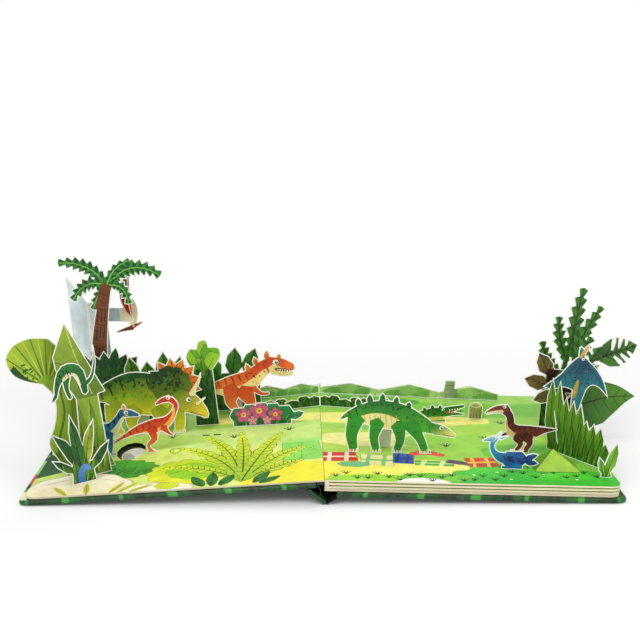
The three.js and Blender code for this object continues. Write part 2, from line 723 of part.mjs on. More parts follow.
function monsteraSpray() {
  const stem = (points) => plate(limb(points, 2), card);
  const flat = join([
    plate(polygon([-30, 0], [-4, 0], [0, 44], [-30, 44]), card),
    stem([[-16, 30, 4], [-12, 60, 2.4], [-7, 92, 1.4], [-5, 108, 1]]),
    plate(frond([-8, 60], [-9, 92], [-3, 119], 15, 7), card),
    plate(frond([-9, 62], [4, 88], [13, 104], 13, 6), card),
    plate(frond([-11, 56], [-22, 78], [-21, 95], 13, 6), card),
    plate(frond([-14, 44], [-30, 56], [-33, 74], 13, 6), card),
    stem([[-8, 40, 3], [8, 56, 1.8], [22, 66, 1.6]]),
    monsteraLeaf(14, 60, 22, 34, 26),
    monsteraLeaf(-2, 42, 58, 34, 20),
    plate(frond([-6, 36], [-4, 64], [8, 78], 14, 6), card),
  ]);
  return join([moved(flat, 0, 0, 0, 90), foot(-28, -6)]);
}

function broadLeaf() {
  return join([
    sheet([
      polygon([-16, 0], [4, 0], [6, 20], [-14, 26]),
      drawn([-14, 22], [[-4, 40], [12, 46], [30, 43], [46, 34]], [38, 28], [22, 10], [4, 2]),
    ]),
    foot(-14, 2),
  ]);
}

function trunkCard() {
  return join([
    sheet([
      limb([[6, 3, 8], [2, 16, 6.4], [-8, 34, 6], [-16, 50, 5], [-19, 60, 3.6]]),
      limb([[-4, 30, 4], [8, 42, 3], [14, 54, 2]], 2),
      polygon([-2, 0], [14, 0], [12, 6], [0, 6]),
      leaf(-18, 46, 165, 22, 14), leaf(-18, 54, 120, 22, 14), leaf(12, 50, 70, 16, 10),
      leaf(-12, 40, 200, 20, 12), polygon([-14, 40], [8, 40], [6, 58], [-16, 60]),
    ]),
    foot(0, 12),
  ]);
}

function tealFlyer() {
  return hungSheet([
    drawn([-26, -12], [[-14, -2], [-6, 8], [2, 14], [8, 10]], [[16, 2], [22, -8], [26, -20]],
      [[18, -12], [12, -10], [8, -14]], [4, -30], [0, -34], [-3, -30], [-3, -14], [[-10, -12], [-18, -14], [-26, -12]]),
    leaf(3, 10, 100, 12, 6),
    leaf(1, 12, 60, 14, 4),
  ]);
}

// A folded bridge that holds the flying figure in front of the trees
function flyerStrut(reach) {
  const shape = polygon(
    [glueGap, 0], [reach - glueGap, 0], [reach - glueGap, 8], [reach - glueGap - card, 8],
    [reach - glueGap - card, card], [glueGap + card, card], [glueGap + card, 8], [glueGap, 8],
  );
  return moved(plate(shape, strutWidth), -strutWidth / 2, 0, 0, 90, 0, 90);
}

function grassCard() {
  const shapes = [polygon([-26, 0], [26, 0], [26, 12], [-26, 34])];
  for (let i = 0; i < 9; i += 1) {
    const x = -24 + 6 * i;
    const height = 54 - 4.2 * i + 4 * Math.sin(i * 2.1);
    shapes.push(leaf(x, 4, 92 - i, height, 11));
  }
  return join([sheet(shapes), foot(-24, 24)]);
}

// A sheet folded into a low faceted mound, open underneath
function foldedFoot() {
  const width = 34;
  const depth = 20;
  const height = 13;
  const mound = (inset) => {
    const top = [-2, 2, height - inset];
    const base = [
      [-width / 2 + inset, -depth / 2 + inset], [width / 2 - inset, -depth / 2 + inset],
      [width / 2 - inset, depth / 2 - inset], [-width / 2 + inset, depth / 2 - inset],
    ];
    const positions = [...base.flatMap(([x, y]) => [x, y, 0]), ...top];
    const geometry = new THREE.BufferGeometry();
    geometry.setAttribute('position', new THREE.Float32BufferAttribute(positions, 3));
    geometry.setIndex([0, 2, 1, 0, 3, 2, 0, 1, 4, 1, 2, 4, 2, 3, 4, 3, 0, 4]);
    return toSolid(geometry);
  };
  return mound(0).subtract(moved(mound(card * 1.6), 0, 0, -0.01));
}

function grassBlade() {
  return join([
    sheet([leaf(0, 1, 78, 27, 9), leaf(-2, 1, 108, 16, 6), polygon([-5, 0], [4, 0], [3, 4], [-4, 4])]),
    foot(-4, 3),
  ]);
}

function stump() {
  return join([
    sheet([drawn([-6, 0], [6, 0], [6, 11], [[4, 14], [0, 15], [-4, 14], [-6, 11]])]),
    foot(-5, 5),
  ]);
}

function buildLeftScenery() {
  stand(leftSide, 'palm_back_support', palmBackSupport(), 'paleBlue', -0.91, 0.385);
  stand(leftSide, 'palm_tree', palmTree(), 'brown', -0.896, 0.313);
  stand(leftSide, 'palm_bush', palmBush(), 'darkGreen', -0.838, 0.242);
  stand(leftSide, 'leaf_row', leafRow(), 'leafGreen', -0.637, 0.192);
  stand(leftSide, 'arch_leaves', archLeaves(), 'leafGreen', -0.33, 0.303);
  stand(leftSide, 'orange_theropod', orangeTheropod(), 'orange', -0.292, 0.172);
  stand(leftSide, 'theropod_strut', strutSolid(30), 'strut', -0.335, 0.172);
  stand(leftSide, 'frill_leaf', frillLeaf(), 'lime', -0.442, 0.131);
  stand(leftSide, 'flower_bush', flowerBush(), 'pink', -0.226, 0.09);
  stand(leftSide, 'horned_dinosaur', hornedDinosaur(), 'hornedGreen', -0.675, 0.06);
  stand(leftSide, 'horned_strut', strutSolid(36), 'strut', -0.69, 0.06);
  stand(leftSide, 'red_dinosaur', redDinosaur(), 'red', -0.6, -0.141);
  stand(leftSide, 'blue_dinosaur', blueDinosaur(), 'blue', -0.782, -0.152);

  const ptera = stand(leftSide, 'pteranodon', pteranodon(), 'red', 0, 0);
  const arm = { reach: 34 + 2, height: 76, yaw: 6 };
  const turn = arm.yaw * degrees;
  const offset = card + glueGap;
  ptera.position.set(
    -0.91 * pageWidth + arm.reach * Math.cos(turn) + offset * Math.sin(turn),
    0.385 * pageDepth + arm.reach * Math.sin(turn) - offset * Math.cos(turn),
    glueGap + arm.height - 4,
  );
  ptera.rotation.set(0, 0, turn);

  const wing = new THREE.Group();
  wing.position.set(-0.877 * pageWidth, -0.328 * pageDepth, glueGap);
  wing.rotation.z = 29 * degrees;
  leftSide.add(wing);
  const kiteAhead = 9;
  addMesh(wing, 'left_wing', leftWing(), 'olive');
  const wingStrut = addMesh(wing, 'wing_strut', strutSolid(40), 'strut');
  wingStrut.position.x = 13;
  const kite = addMesh(wing, 'kite_panel', kitePanel(), 'olive');
  kite.position.y = -kiteAhead;
  const arched = addMesh(wing, 'arched_dinosaur', archedDinosaur(), 'leafGreen');
  arched.position.y = -kiteAhead - card - glueGap;
  const ferns = addMesh(wing, 'fern_cluster', fernCluster(), 'grass');
  ferns.position.y = -2 * kiteAhead;
}

function buildRightScenery() {
  stand(rightSide, 'long_neck_dinosaur', longNeckDinosaur(), 'leafGreen', 0.245, -0.232);
  stand(rightSide, 'long_neck_strut', strutSolid(28), 'strut', 0.22, -0.232);
  stand(rightSide, 'crocodile', crocodile(), 'darkGreen', 0.435, 0.121);
  stand(rightSide, 'stump', stump(), 'olive', 0.613, 0.172);
  stand(rightSide, 'hatchling', hatchling(), 'blue', 0.613, -0.364);
  stand(rightSide, 'maroon_theropod', maroonTheropod(), 'maroon', 0.717, -0.202);
  stand(rightSide, 'folded_foot', foldedFoot(), 'olive', 0.81, -0.33);
  stand(rightSide, 'grass_card', grassCard(), 'grass', 0.9, -0.25, -52);
  stand(rightSide, 'grass_blade', grassBlade(), 'grass', 0.965, -0.42);
  stand(rightSide, 'trunk_card', trunkCard(), 'brown', 0.92, -0.061);
  stand(rightSide, 'broad_leaf', broadLeaf(), 'darkGreen', 0.975, 0.02);
  stand(rightSide, 'monstera_spray', monsteraSpray(), 'leafGreen', 0.99, 0.101);
  stand(rightSide, 'monstera_strut', strutSolid(38), 'strut', 0.905, 0.101);
  const flyerAhead = 9;
  const flyer = stand(rightSide, 'teal_flyer', tealFlyer(), 'teal', 0.92, -0.061);
  flyer.position.y -= card + flyerAhead;
  flyer.position.z += 60;
  const bridge = stand(rightSide, 'flyer_strut', flyerStrut(flyerAhead), 'strut', 0.92, -0.061);
  bridge.position.y -= card + flyerAhead;
  bridge.position.z += 47;
}

buildCovers();
buildLeftPage();
buildPageBlock();
buildSpine();
buildGutterSheets();
buildLeftScenery();
buildRightScenery();

// The origin lies on the table under the middle of the whole
const whole = new THREE.Box3().setFromObject(book, true);
book.position.x = -(whole.min.x + whole.max.x) / 2;

export default book;
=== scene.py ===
import math

import bmesh
import bpy
import numpy as np
from mathutils import Matrix, Vector, geometry


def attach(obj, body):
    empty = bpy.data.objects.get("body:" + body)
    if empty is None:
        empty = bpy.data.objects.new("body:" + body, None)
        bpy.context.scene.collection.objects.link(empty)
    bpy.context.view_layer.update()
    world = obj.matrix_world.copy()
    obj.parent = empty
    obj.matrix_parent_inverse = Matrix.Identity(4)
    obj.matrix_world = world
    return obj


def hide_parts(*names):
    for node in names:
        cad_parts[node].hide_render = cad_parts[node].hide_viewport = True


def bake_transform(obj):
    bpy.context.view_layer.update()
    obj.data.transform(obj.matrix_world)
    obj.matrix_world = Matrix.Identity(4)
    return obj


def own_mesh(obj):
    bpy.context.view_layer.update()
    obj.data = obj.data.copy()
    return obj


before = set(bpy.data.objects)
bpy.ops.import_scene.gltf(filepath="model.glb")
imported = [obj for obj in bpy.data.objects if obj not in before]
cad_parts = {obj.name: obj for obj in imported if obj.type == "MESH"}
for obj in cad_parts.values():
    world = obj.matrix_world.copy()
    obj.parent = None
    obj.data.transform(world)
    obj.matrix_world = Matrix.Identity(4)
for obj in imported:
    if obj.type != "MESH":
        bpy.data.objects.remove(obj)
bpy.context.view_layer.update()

# The looks of a children's pop up book. Lengths are millimetres until a mesh is made.
MILLIMETRE = 0.001

# Sizes and places of the solids
PAGE_WIDTH = 212
PAGE_DEPTH = 198
PAGE_THICKNESS = 1.4
COVER_SQUARE = 4
BOARD = 2.5
BOARD_EDGE_RADIUS = 0.7
LEAF_THICKNESSES = (1.3, 1.4, 1.5, 1.6)
LEAF_GAPS = (1.1, 1.0, 0.4, 0.0)
BINDING_WIDTH = 3
SPINE_WIDTH = 16
SPINE_LEAN = 40
CARD = 0.6
GLUE = 0.3
TAB_DEPTH = 6.5
TAB_TAPER = 1.2
TAB_SLACK = 0.5
LEVEL_TOLERANCE = 0.12
FRONT_STACK = PAGE_THICKNESS + GLUE + BOARD
BACK_STACK = sum(LEAF_THICKNESSES) + sum(LEAF_GAPS) + GLUE + BOARD
GUTTER = Vector((-17.712, 0, 17.384))
SPINE_FOOT = Vector((GUTTER.x - 0.4, 0, 0))
LEFT_TILT = math.radians(3.501)
RIGHT_TILT = math.radians(1.668)
PEEP_HOLE = (-149, -22)

# The front hinge paper parts at this level, between spine and cover
HINGE_SPLIT = 10.6

# Print
INK_DEPTH = 1.2
INK = "23350f"
# Near-black on the cut walls of the page's openings: painted shade inside the holes and slits
CUT_WALL_SHADE = "17130f"
CARD_WHITE = "fbfaf4"
CARD_EDGE = "f3eddc"
HINGE_GREEN = "16321c"
EDGE_BORDER = 0.65

# The photograph's camera, in metres and degrees
CAMERA_PLACE = (-0.03628, -0.71852, 0.28926)
CAMERA_DOWN = 14.129
CAMERA_RIGHT = 1.34
CAMERA_ROLL = 0.344
FOCAL_SHARE = 950 / 640
SENSOR = 36

# The table is its own colour under the book and turns plain white this far from it
BOOK_REACH = (0.235, 0.1, 0)
WHITE_REACH = 0.24
WHITE_SHARES = (0.04, 1.0)
LAMPS = (("key", (-0.5, -0.9, 1.3), 13, 0.9, (0, 0, 0.03)),
         ("fill", (0.9, -0.6, 0.8), 5, 0.9, (0, 0, 0.03)),
         ("top", (0.1, 0.4, 1.4), 7, 1.2, (0, 0, 0)))


def side_frame(body):
    """Axes of an open side: x across from the gutter, y away from the reader, z off the page."""
    tilt = {"front": -LEFT_TILT, "back": RIGHT_TILT}[body]
    return Matrix.Translation(GUTTER) @ Matrix.Rotation(tilt, 4, "Y")


# Axes of a standing sheet: u to the right, v up, and the printed side towards the reader
UPRIGHT = Matrix(((1, 0, 0, 0), (0, 0, -1, 0), (0, 1, 0, 0), (0, 0, 0, 1)))


def stand_frame(body, across, away, yaw=0.0, ahead=0.0, lift=0.0):
    """Axes of a sheet that stands at these shares of the page's width and depth."""
    place = Matrix.Translation((across * PAGE_WIDTH, away * PAGE_DEPTH - ahead, GLUE + lift))
    return side_frame(body) @ place @ Matrix.Rotation(math.radians(yaw), 4, "Z") @ UPRIGHT


# Colours
def rgb(text):
    """A written colour as linear numbers, a little deeper, as printing ink is."""
    values = [int(text[i:i + 2], 16) / 255 for i in (0, 2, 4)]
    linear = [v / 12.92 if v <= 0.04045 else ((v + 0.055) / 1.055) ** 2.4 for v in values]
    return [v ** INK_DEPTH for v in linear]


def fade(first, second, start, end):
    """A colour that changes evenly from one place to another."""
    return (first, second, start, end)


def fill_colours(fill, points):
    """The fill's colour at each point."""
    if isinstance(fill, str):
        return np.tile(rgb(fill), (len(points), 1))
    first, second, start, end = fill
    along = np.subtract(end, start)
    share = np.clip((points - np.array(start)) @ along / (along @ along), 0, 1)[:, None]
    return (1 - share) * np.array(rgb(first)) + share * np.array(rgb(second))


# Outlines of the print
def poly(*points):
    """An outline through these corners."""
    return np.array(points, float)


def blob(x, y, across, up=None, turn=0.0, count=18):
    """A round or oval field."""
    up = across if up is None else up
    angle = np.linspace(0, 2 * math.pi, count, endpoint=False)
    c, s = math.cos(math.radians(turn)), math.sin(math.radians(turn))
    a, b = across * np.cos(angle), up * np.sin(angle)
    return np.stack([x + a * c - b * s, y + a * s + b * c], 1)


def smooth(points, steps=4):
    """A smooth line through the points, which may have a third number, such as a radius."""
    p = np.array(points, float)
    p = np.vstack([2 * p[0] - p[1], p, 2 * p[-1] - p[-2]])
    out = []
    for i in range(1, len(p) - 2):
        for t in np.linspace(0, 1, steps, endpoint=False):
            out.append(0.5 * (2 * p[i] + (p[i + 1] - p[i - 1]) * t
                              + (2 * p[i - 1] - 5 * p[i] + 4 * p[i + 1] - p[i + 2]) * t * t
                              + (3 * p[i] - p[i - 1] - 3 * p[i + 1] + p[i + 2]) * t ** 3))
    out.append(p[-2])
    return np.array(out)


def limb(points, steps=4, grow=0.0):
    """A limb, neck or tail: points x, y, radius along its middle."""
    p = smooth(points, steps)
    tangent = np.gradient(p[:, :2], axis=0)
    tangent /= np.maximum(np.linalg.norm(tangent, axis=1), 1e-9)[:, None]
    side = np.stack([-tangent[:, 1], tangent[:, 0]], 1) * np.maximum(p[:, 2:3] + grow, 0.1)
    tip = p[-1:, :2] + tangent[-1:] * max(p[-1, 2] + grow, 0.1) * 0.7
    tail = p[:1, :2] - tangent[:1] * max(p[0, 2] + grow, 0.1) * 0.7
    return np.vstack([tail, p[:, :2] + side, tip, (p[:, :2] - side)[::-1]])


def stroke(points, width, steps=4):
    """A pen or brush line that thins out at its end."""
    count = len(points)
    body = [(x, y, width / 2 * (1 - 0.55 * i / max(count - 1, 1))) for i, (x, y) in enumerate(points)]
    return limb(body, steps)


def point_on(x, y, angle, far, side=0.0):
    """A point this far from x, y along a line at this angle, and this far to its left."""
    a = math.radians(angle)
    return (x + math.cos(a) * far - math.sin(a) * side, y + math.sin(a) * far + math.cos(a) * side)


def leaf(x, y, angle, length, width, bend=0.0, steps=9):
    """A pointed leaf with its stalk at x, y."""
    t = np.linspace(0, 1, steps)[:, None]
    weights = [(1 - t) ** 3, 3 * t * (1 - t) ** 2, 3 * t * t * (1 - t), t ** 3]
    sides = []
    for way in (-1, 1):
        controls = [(0, way * width * 0.12), (length * 0.3, bend + way * width * 0.75),
                    (length * 0.75, bend + way * width * 0.5), (length, 0)]
        sides.append(sum(w * np.array(c) for w, c in zip(weights, controls)))
    outline = np.vstack([sides[0], sides[1][::-1][1:]])
    return np.array([point_on(x, y, angle, far, side) for far, side in outline])


def lobed(x, y, across, up, lobes, depth=0.12, turn=0.0, count=72):
    """A bush or cloud with a scalloped edge."""
    angle = np.linspace(0, 2 * math.pi, count, endpoint=False)
    far = 1 - depth * (1 - np.abs(np.sin(angle * lobes / 2)))
    return np.stack([x + across * far * np.cos(angle + turn), y + up * far * np.sin(angle + turn)], 1)


def inked(shape, fill, ink=INK, width=0.45):
    """A shape with a drawn outline: the grown shape in ink, and the shape itself over it."""
    middle = shape.mean(0)
    reach = np.maximum(np.linalg.norm(shape - middle, axis=1), 0.5)[:, None]
    return [((shape - middle) * (1 + width / reach) + middle, ink), (shape, fill)]


def leaf_print(x, y, angle, length, width, light="7fb832", dark="3d7a22", vein=INK, bend=0.0, veins=4):
    """A leaf with a darker half, a middle rib and side veins."""
    shape = leaf(x, y, angle, length, width, bend)
    half = shape[: len(shape) // 2 + 1]
    rib = [point_on(x, y, angle, length * t, bend * 1.1 * 4 * t * (1 - t) * 0.75)
           for t in (0.02, 0.35, 0.7, 0.96)]
    out = inked(shape, fade(dark, light, (x, y), point_on(x, y, angle, length)), vein, 0.35)
    out.append((np.vstack([half, rib[::-1]]), fade(light, dark, (x, y), point_on(x, y, angle, length))))
    out.append((stroke(rib, max(0.5, width * 0.06), 3), vein))
    for i in range(veins):
        t = 0.18 + 0.62 * i / max(veins - 1, 1)
        for side in (-1, 1):
            start = point_on(x, y, angle, length * t, bend * t)
            reach = width * 0.36 * math.sin(math.pi * min(0.92, t + 0.12))
            end = point_on(x, y, angle, length * t + width * 0.3, bend * t + side * reach)
            out.append((stroke([start, end], max(0.35, width * 0.035), 1), vein))
    return out


def frond_print(start, bend, end, width, teeth, light, dark, rib_colour):
    """A feathered frond: leaflets along a curved rib."""
    out = []
    s, b, e = (np.array(p, float) for p in (start, bend, end))
    for i in range(teeth * 2):
        t = (i + 0.3) / (teeth * 2)
        at = (1 - t) ** 2 * s + 2 * t * (1 - t) * b + t * t * e
        along = 2 * (1 - t) * (b - s) + 2 * t * (e - b)
        heading = math.degrees(math.atan2(along[1], along[0]))
        reach = width * 0.62 * (0.35 + 0.65 * math.sin(math.pi * (0.12 + 0.8 * t)))
        for side in (-1, 1):
            colour = light if (i + (side > 0)) % 2 else dark
            out.append((leaf(at[0], at[1], heading + side * 52, reach, reach * 0.36, steps=4), colour))
    rib = [tuple((1 - t) ** 2 * s + 2 * t * (1 - t) * b + t * t * e) for t in (0, 0.35, 0.7, 1)]
    out.append((stroke(rib, 1.3, 3), rib_colour))
    return out


def eye_print(x, y, size, look=0.25):
    """A round eye with a rim, a pupil and a small light."""
    return [(blob(x, y, size * 1.12, size * 1.02), INK), (blob(x, y, size, size * 0.9), "fbf8ea"),
            (blob(x + look * size, y - 0.1 * size, size * 0.5), "1b1712"),
            (blob(x + look * size + size * 0.15, y + size * 0.12, size * 0.17), "ffffff")]


def stripes_print(rows, colour, width=1.6):
    """Brush lines, one along each row of points."""
    return [(stroke(row, width, 2), colour) for row in rows]


def teeth_print(points, size, down=True):
    """Small pointed teeth that hang down or stand up."""
    sign = -1 if down else 1
    return [(poly((x - size / 2, y), (x + size / 2, y), (x, y + sign * size * 1.3)), "fdf9e6")
            for x, y in points]


def scales_print(middle, spread, count, seed, colour, size=1.0, steps=6):
    """Small painted spots, scattered with a fixed seed."""
    dice = np.random.default_rng(seed)
    places = np.array(middle) + dice.uniform(-1, 1, (count, 2)) * np.array(spread)
    return [(blob(x, y, size * dice.uniform(0.6, 1.4), size * dice.uniform(0.4, 0.9), dice.uniform(0, 90),
                  steps), colour)
            for x, y in places]


# From a solid's printed side to a painted sheet
def solid_points(node, place):
    """The node's corners in the sheet's own axes, and its triangles, with doubled corners merged."""
    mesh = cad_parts[node].data
    points = np.empty(len(mesh.vertices) * 3)
    mesh.vertices.foreach_get("co", points)
    points = points.reshape(-1, 3) / MILLIMETRE
    inverse = np.array(place.inverted())
    points = points @ inverse[:3, :3].T + inverse[:3, 3]
    mesh.calc_loop_triangles()
    triangles = np.empty(len(mesh.loop_triangles) * 3, np.int64)
    mesh.loop_triangles.foreach_get("vertices", triangles)
    points, merged = np.unique(np.round(points, 2), axis=0, return_inverse=True)
    return points, merged.reshape(-1)[triangles].reshape(-1, 3)


def rings_of(edges, points):
    """Closed rings from directed edges."""
    follow = {}
    for a, b in edges:
        follow.setdefault(a, []).append(b)
    rings = []
    while follow:
        start = next(iter(follow))
        ring, at = [], start
        while at in follow:
            ring.append(at)
            step = follow[at].pop()
            if not follow[at]:
                del follow[at]
            at = step
            if at == start:
                break
        if len(ring) > 2:
            rings.append(points[ring][:, :2])
    return rings


def printed_outline(node, place, level):
    """The rings around the flat side of a node that lies at this level of the sheet's axes."""
    points, triangles = solid_points(node, place)
    a, b, c = (points[triangles[:, i]] for i in range(3))
    normal = np.cross(b - a, c - a)
    size = np.maximum(np.linalg.norm(normal, axis=1), 1e-9)
    at_level = (np.abs(points[triangles][:, :, 2] - level) < LEVEL_TOLERANCE).all(1)
    flat = at_level & (normal[:, 2] / size > 0.9)
    directed = {(t[i], t[(i + 1) % 3]) for t in triangles[flat] for i in range(3)}
    return rings_of(sorted(e for e in directed if (e[1], e[0]) not in directed), points)


def inside_ring(ring, at):
    """Which points lie inside one ring."""
    x, y = at[:, 0:1], at[:, 1:2]
    x0, y0 = ring[:, 0], ring[:, 1]
    x1, y1 = np.roll(x0, -1), np.roll(y0, -1)
    crosses = (y0 > y) != (y1 > y)
    with np.errstate(divide="ignore", invalid="ignore"):
        hit = crosses & (x < (x1 - x0) * (y - y0) / (y1 - y0) + x0)
    return hit.sum(1) % 2 == 1


def inside_rings(rings, at):
    """Which points lie inside the outline and outside its openings."""
    total = np.zeros(len(at), int)
    for ring in rings:
        total += inside_ring(ring, at)
    return total % 2 == 1


def distance_to(rings, at):
    """How far each point lies from the nearest edge."""
    best = np.full(len(at), 1e9)
    for ring in rings:
        start, end = ring, np.roll(ring, -1, axis=0)
        along = end - start
        length = np.maximum((along ** 2).sum(1), 1e-12)
        share = np.clip(((at[:, None] - start) * along).sum(2) / length, 0, 1)
        gap = at[:, None] - (start + share[..., None] * along)
        best = np.minimum(best, np.sqrt((gap ** 2).sum(2)).min(1))
    return best


def inset(ring, amount):
    """A ring moved inwards by an amount."""
    before, after = ring - np.roll(ring, 1, axis=0), np.roll(ring, -1, axis=0) - ring
    normals = []
    for edge in (before, after):
        length = np.maximum(np.linalg.norm(edge, axis=1), 1e-9)[:, None]
        normals.append(np.stack([-edge[:, 1], edge[:, 0]], 1) / length)
    mean = normals[0] + normals[1]
    scale = np.maximum((mean * normals[0]).sum(1), 0.35)[:, None]
    return ring + mean / scale * amount


class Sheet:
    """A flat sheet cut into triangles along its outline and along every printed shape."""

    def __init__(self, rings, prints, border=0.0, step=6.0):
        points, edges = [], []

        def add(ring):
            base = len(points)
            points.extend(Vector(p) for p in ring)
            edges.extend((base + i, base + (i + 1) % len(ring)) for i in range(len(ring)))

        for ring in rings:
            add(ring)
            if border:
                add(inset(ring, border))
        for shape, _ in prints:
            add(shape)
        corners = np.vstack(rings)
        low, high = corners.min(0), corners.max(0)
        for x in np.arange(low[0] + step / 2, high[0], step):
            points.extend(Vector((x, y)) for y in np.arange(low[1] + step / 2, high[1], step))
        cut = geometry.delaunay_2d_cdt(points, edges, [], 0, 1e-4)
        self.points = np.array([tuple(p) for p in cut[0]])
        triangles = np.array(cut[2])
        a, b, c = (self.points[triangles[:, i]] for i in range(3))
        area = (b - a)[:, 0] * (c - a)[:, 1] - (b - a)[:, 1] * (c - a)[:, 0]
        triangles[area < 0] = triangles[area < 0][:, ::-1]
        triangles = triangles[np.abs(area) > 1e-7]
        middle = self.points[triangles].mean(1)
        kept, order = np.unique(triangles[inside_rings(rings, middle)], return_inverse=True)
        self.points = self.points[kept]
        self.triangles = order.reshape(-1, 3)
        self.middle = self.points[self.triangles].mean(1)
        self.edge = distance_to(rings, self.middle) < border * 0.97 if border else None
        directed = {(t[i], t[(i + 1) % 3]) for t in self.triangles for i in range(3)}
        self.rim = sorted(e for e in directed if (e[1], e[0]) not in directed)

    def colours(self, base, prints, border_colour):
        """One colour for each corner of each triangle."""
        top = np.full(len(self.triangles), -1)
        for k, (shape, _) in enumerate(prints):
            low, high = shape.min(0), shape.max(0)
            near = ((self.middle >= low) & (self.middle <= high)).all(1).nonzero()[0]
            if len(near):
                top[near[inside_ring(shape, self.middle[near])]] = k
        corners = self.points[self.triangles].reshape(-1, 2)
        out = fill_colours(base, corners)
        which = np.repeat(top, 3)
        for k, (_, fill) in enumerate(prints):
            at = which == k
            if at.any():
                out[at] = fill_colours(fill, corners[at])
        if self.edge is not None:
            out[np.repeat(self.edge, 3)] = rgb(border_colour)
        return out


class Build:
    """Collects closed shells of one piece, each with its colours and its finish."""

    def __init__(self):
        self.points, self.faces, self.colours, self.finishes = [], [], [], []

    def add(self, place, points, faces, colours, finish):
        base = len(self.points)
        self.points.extend((place @ Vector(p)) * MILLIMETRE for p in points)
        self.faces.extend(tuple(base + i for i in f) for f in faces)
        self.colours.extend(colours)
        self.finishes.extend([finish] * len(faces))

    def sheet(self, place, sheet, front, back, top, bottom, rounded=0.0, shaded_rim=None):
        """A sheet with its printed side at level top and its back at level bottom."""
        count = len(sheet.points)
        rows = [np.column_stack([sheet.points, np.full(count, level)]) for level in (top, bottom)]
        caps = [tuple(t) for t in sheet.triangles]
        backs = [tuple(t + count)[::-1] for t in sheet.triangles]
        back_colours = back.reshape(-1, 3, 3)[:, ::-1].reshape(-1, 3)
        base = len(self.points)
        self.add(place, np.vstack(rows), caps + backs, [*front, *back_colours], 0)
        if rounded:
            self.rounded_wall(place, sheet, top, bottom, rounded, front)
            return
        for a, b in sheet.rim:
            # Cut walls inside the shaded rim are near-black: painted shade in the page's openings
            dark = shaded_rim is not None and inside_ring(shaded_rim, sheet.points[a:a + 1])[0]
            self.faces.append((base + a, base + a + count, base + b + count, base + b))
            self.colours.extend([rgb(CUT_WALL_SHADE if dark else CARD_EDGE)] * 4)
            self.finishes.append(0 if dark else 1)

    def rounded_wall(self, place, sheet, top, bottom, radius, front):
        """The wrapped edge of a board, which bulges out and carries the print of its rim on."""
        outward = {}
        for a, b in sheet.rim:
            edge = sheet.points[b] - sheet.points[a]
            normal = np.array([edge[1], -edge[0]]) / max(np.linalg.norm(edge), 1e-9)
            for corner in (a, b):
                outward[corner] = outward.get(corner, 0) + normal
        order = sorted(outward)
        index = {corner: i for i, corner in enumerate(order)}
        flat = sheet.points[order]
        normals = np.array([outward[c] / max(np.linalg.norm(outward[c]), 1e-9) for c in order])
        quarter = np.linspace(0, math.pi / 2, 5)
        profile = [(radius * math.sin(a), top - radius * (1 - math.cos(a))) for a in quarter]
        profile += [(radius * math.sin(a), bottom + radius * (1 - math.cos(a))) for a in quarter[::-1]]
        rows = [np.column_stack([flat + normals * out, np.full(len(flat), level)])
                for out, level in profile]
        n = len(flat)
        shade = {}
        for t, triangle in enumerate(sheet.triangles):
            for i in range(3):
                shade[triangle[i], triangle[(i + 1) % 3]] = (front[3 * t + i], front[3 * t + (i + 1) % 3])
        faces, colours = [], []
        for k in range(len(rows) - 1):
            for a, b in sheet.rim:
                i, j = index[a], index[b]
                faces.append((k * n + i, (k + 1) * n + i, (k + 1) * n + j, k * n + j))
                start, end = shade[a, b]
                colours += [start, start, end, end]
        self.add(place, np.vstack(rows), faces, colours, 0)

    def block(self, place, low, high, colour, finish=1, taper=0.0):
        """A box between two corners, which a taper makes narrower at its low z."""
        (x0, y0, z0), (x1, y1, z1) = low, high
        points = [(x0 + taper, y0, z0), (x1 - taper, y0, z0), (x1 - taper, y1, z0), (x0 + taper, y1, z0),
                  (x0, y0, z1), (x1, y0, z1), (x1, y1, z1), (x0, y1, z1)]
        faces = [(0, 3, 2, 1), (4, 5, 6, 7), (0, 1, 5, 4), (1, 2, 6, 5), (2, 3, 7, 6), (3, 0, 4, 7)]
        self.add(place, points, faces, [rgb(colour)] * 24, finish)

    def mesh(self, name, *materials):
        mesh = bpy.data.meshes.new(name)
        mesh.from_pydata([tuple(p) for p in self.points], [], self.faces)
        layer = mesh.color_attributes.new("Print", "FLOAT_COLOR", "CORNER")
        values = np.ones((len(self.colours), 4), np.float32)
        values[:, :3] = np.array(self.colours)
        layer.data.foreach_set("color", values.ravel())
        for material in materials:
            mesh.materials.append(material)
        mesh.polygons.foreach_set("material_index", self.finishes)
        mesh.update()
        piece = bpy.data.objects.new(name, mesh)
        bpy.context.scene.collection.objects.link(piece)
        return piece


# Finishes
def new_material(name, roughness, coat=0.0):
    """A material, and its nodes, links and shader."""
    material = bpy.data.materials.new(name)
    material.use_nodes = True
    shader = material.node_tree.nodes["Principled BSDF"]
    shader.inputs["Roughness"].default_value = roughness
    shader.inputs["Coat Weight"].default_value = coat
    shader.inputs["Coat Roughness"].default_value = 0.25
    shader.inputs["Specular IOR Level"].default_value = 0.35
    return material, material.node_tree.nodes, material.node_tree.links, shader


def noise(nodes, links, scale, detail=4.0, stretch=None):
    """Noise in the piece's own axes."""
    place = nodes.new("ShaderNodeTexCoord")
    texture = nodes.new("ShaderNodeTexNoise")
    texture.inputs["Scale"].default_value = scale
    texture.inputs["Detail"].default_value = detail
    if stretch:
        mapping = nodes.new("ShaderNodeMapping")
        mapping.inputs["Scale"].default_value = stretch
        links.new(place.outputs["Object"], mapping.inputs["Vector"])
        links.new(mapping.outputs["Vector"], texture.inputs["Vector"])
    else:
        links.new(place.outputs["Object"], texture.inputs["Vector"])
    return texture.outputs["Fac"]


def spread(nodes, links, value, low, high, start=0.3, end=0.7):
    """A value taken from one range to another."""
    ranged = nodes.new("ShaderNodeMapRange")
    ranged.inputs["From Min"].default_value = start
    ranged.inputs["From Max"].default_value = end
    ranged.inputs["To Min"].default_value = low
    ranged.inputs["To Max"].default_value = high
    links.new(value, ranged.inputs["Value"])
    return ranged.outputs["Result"]


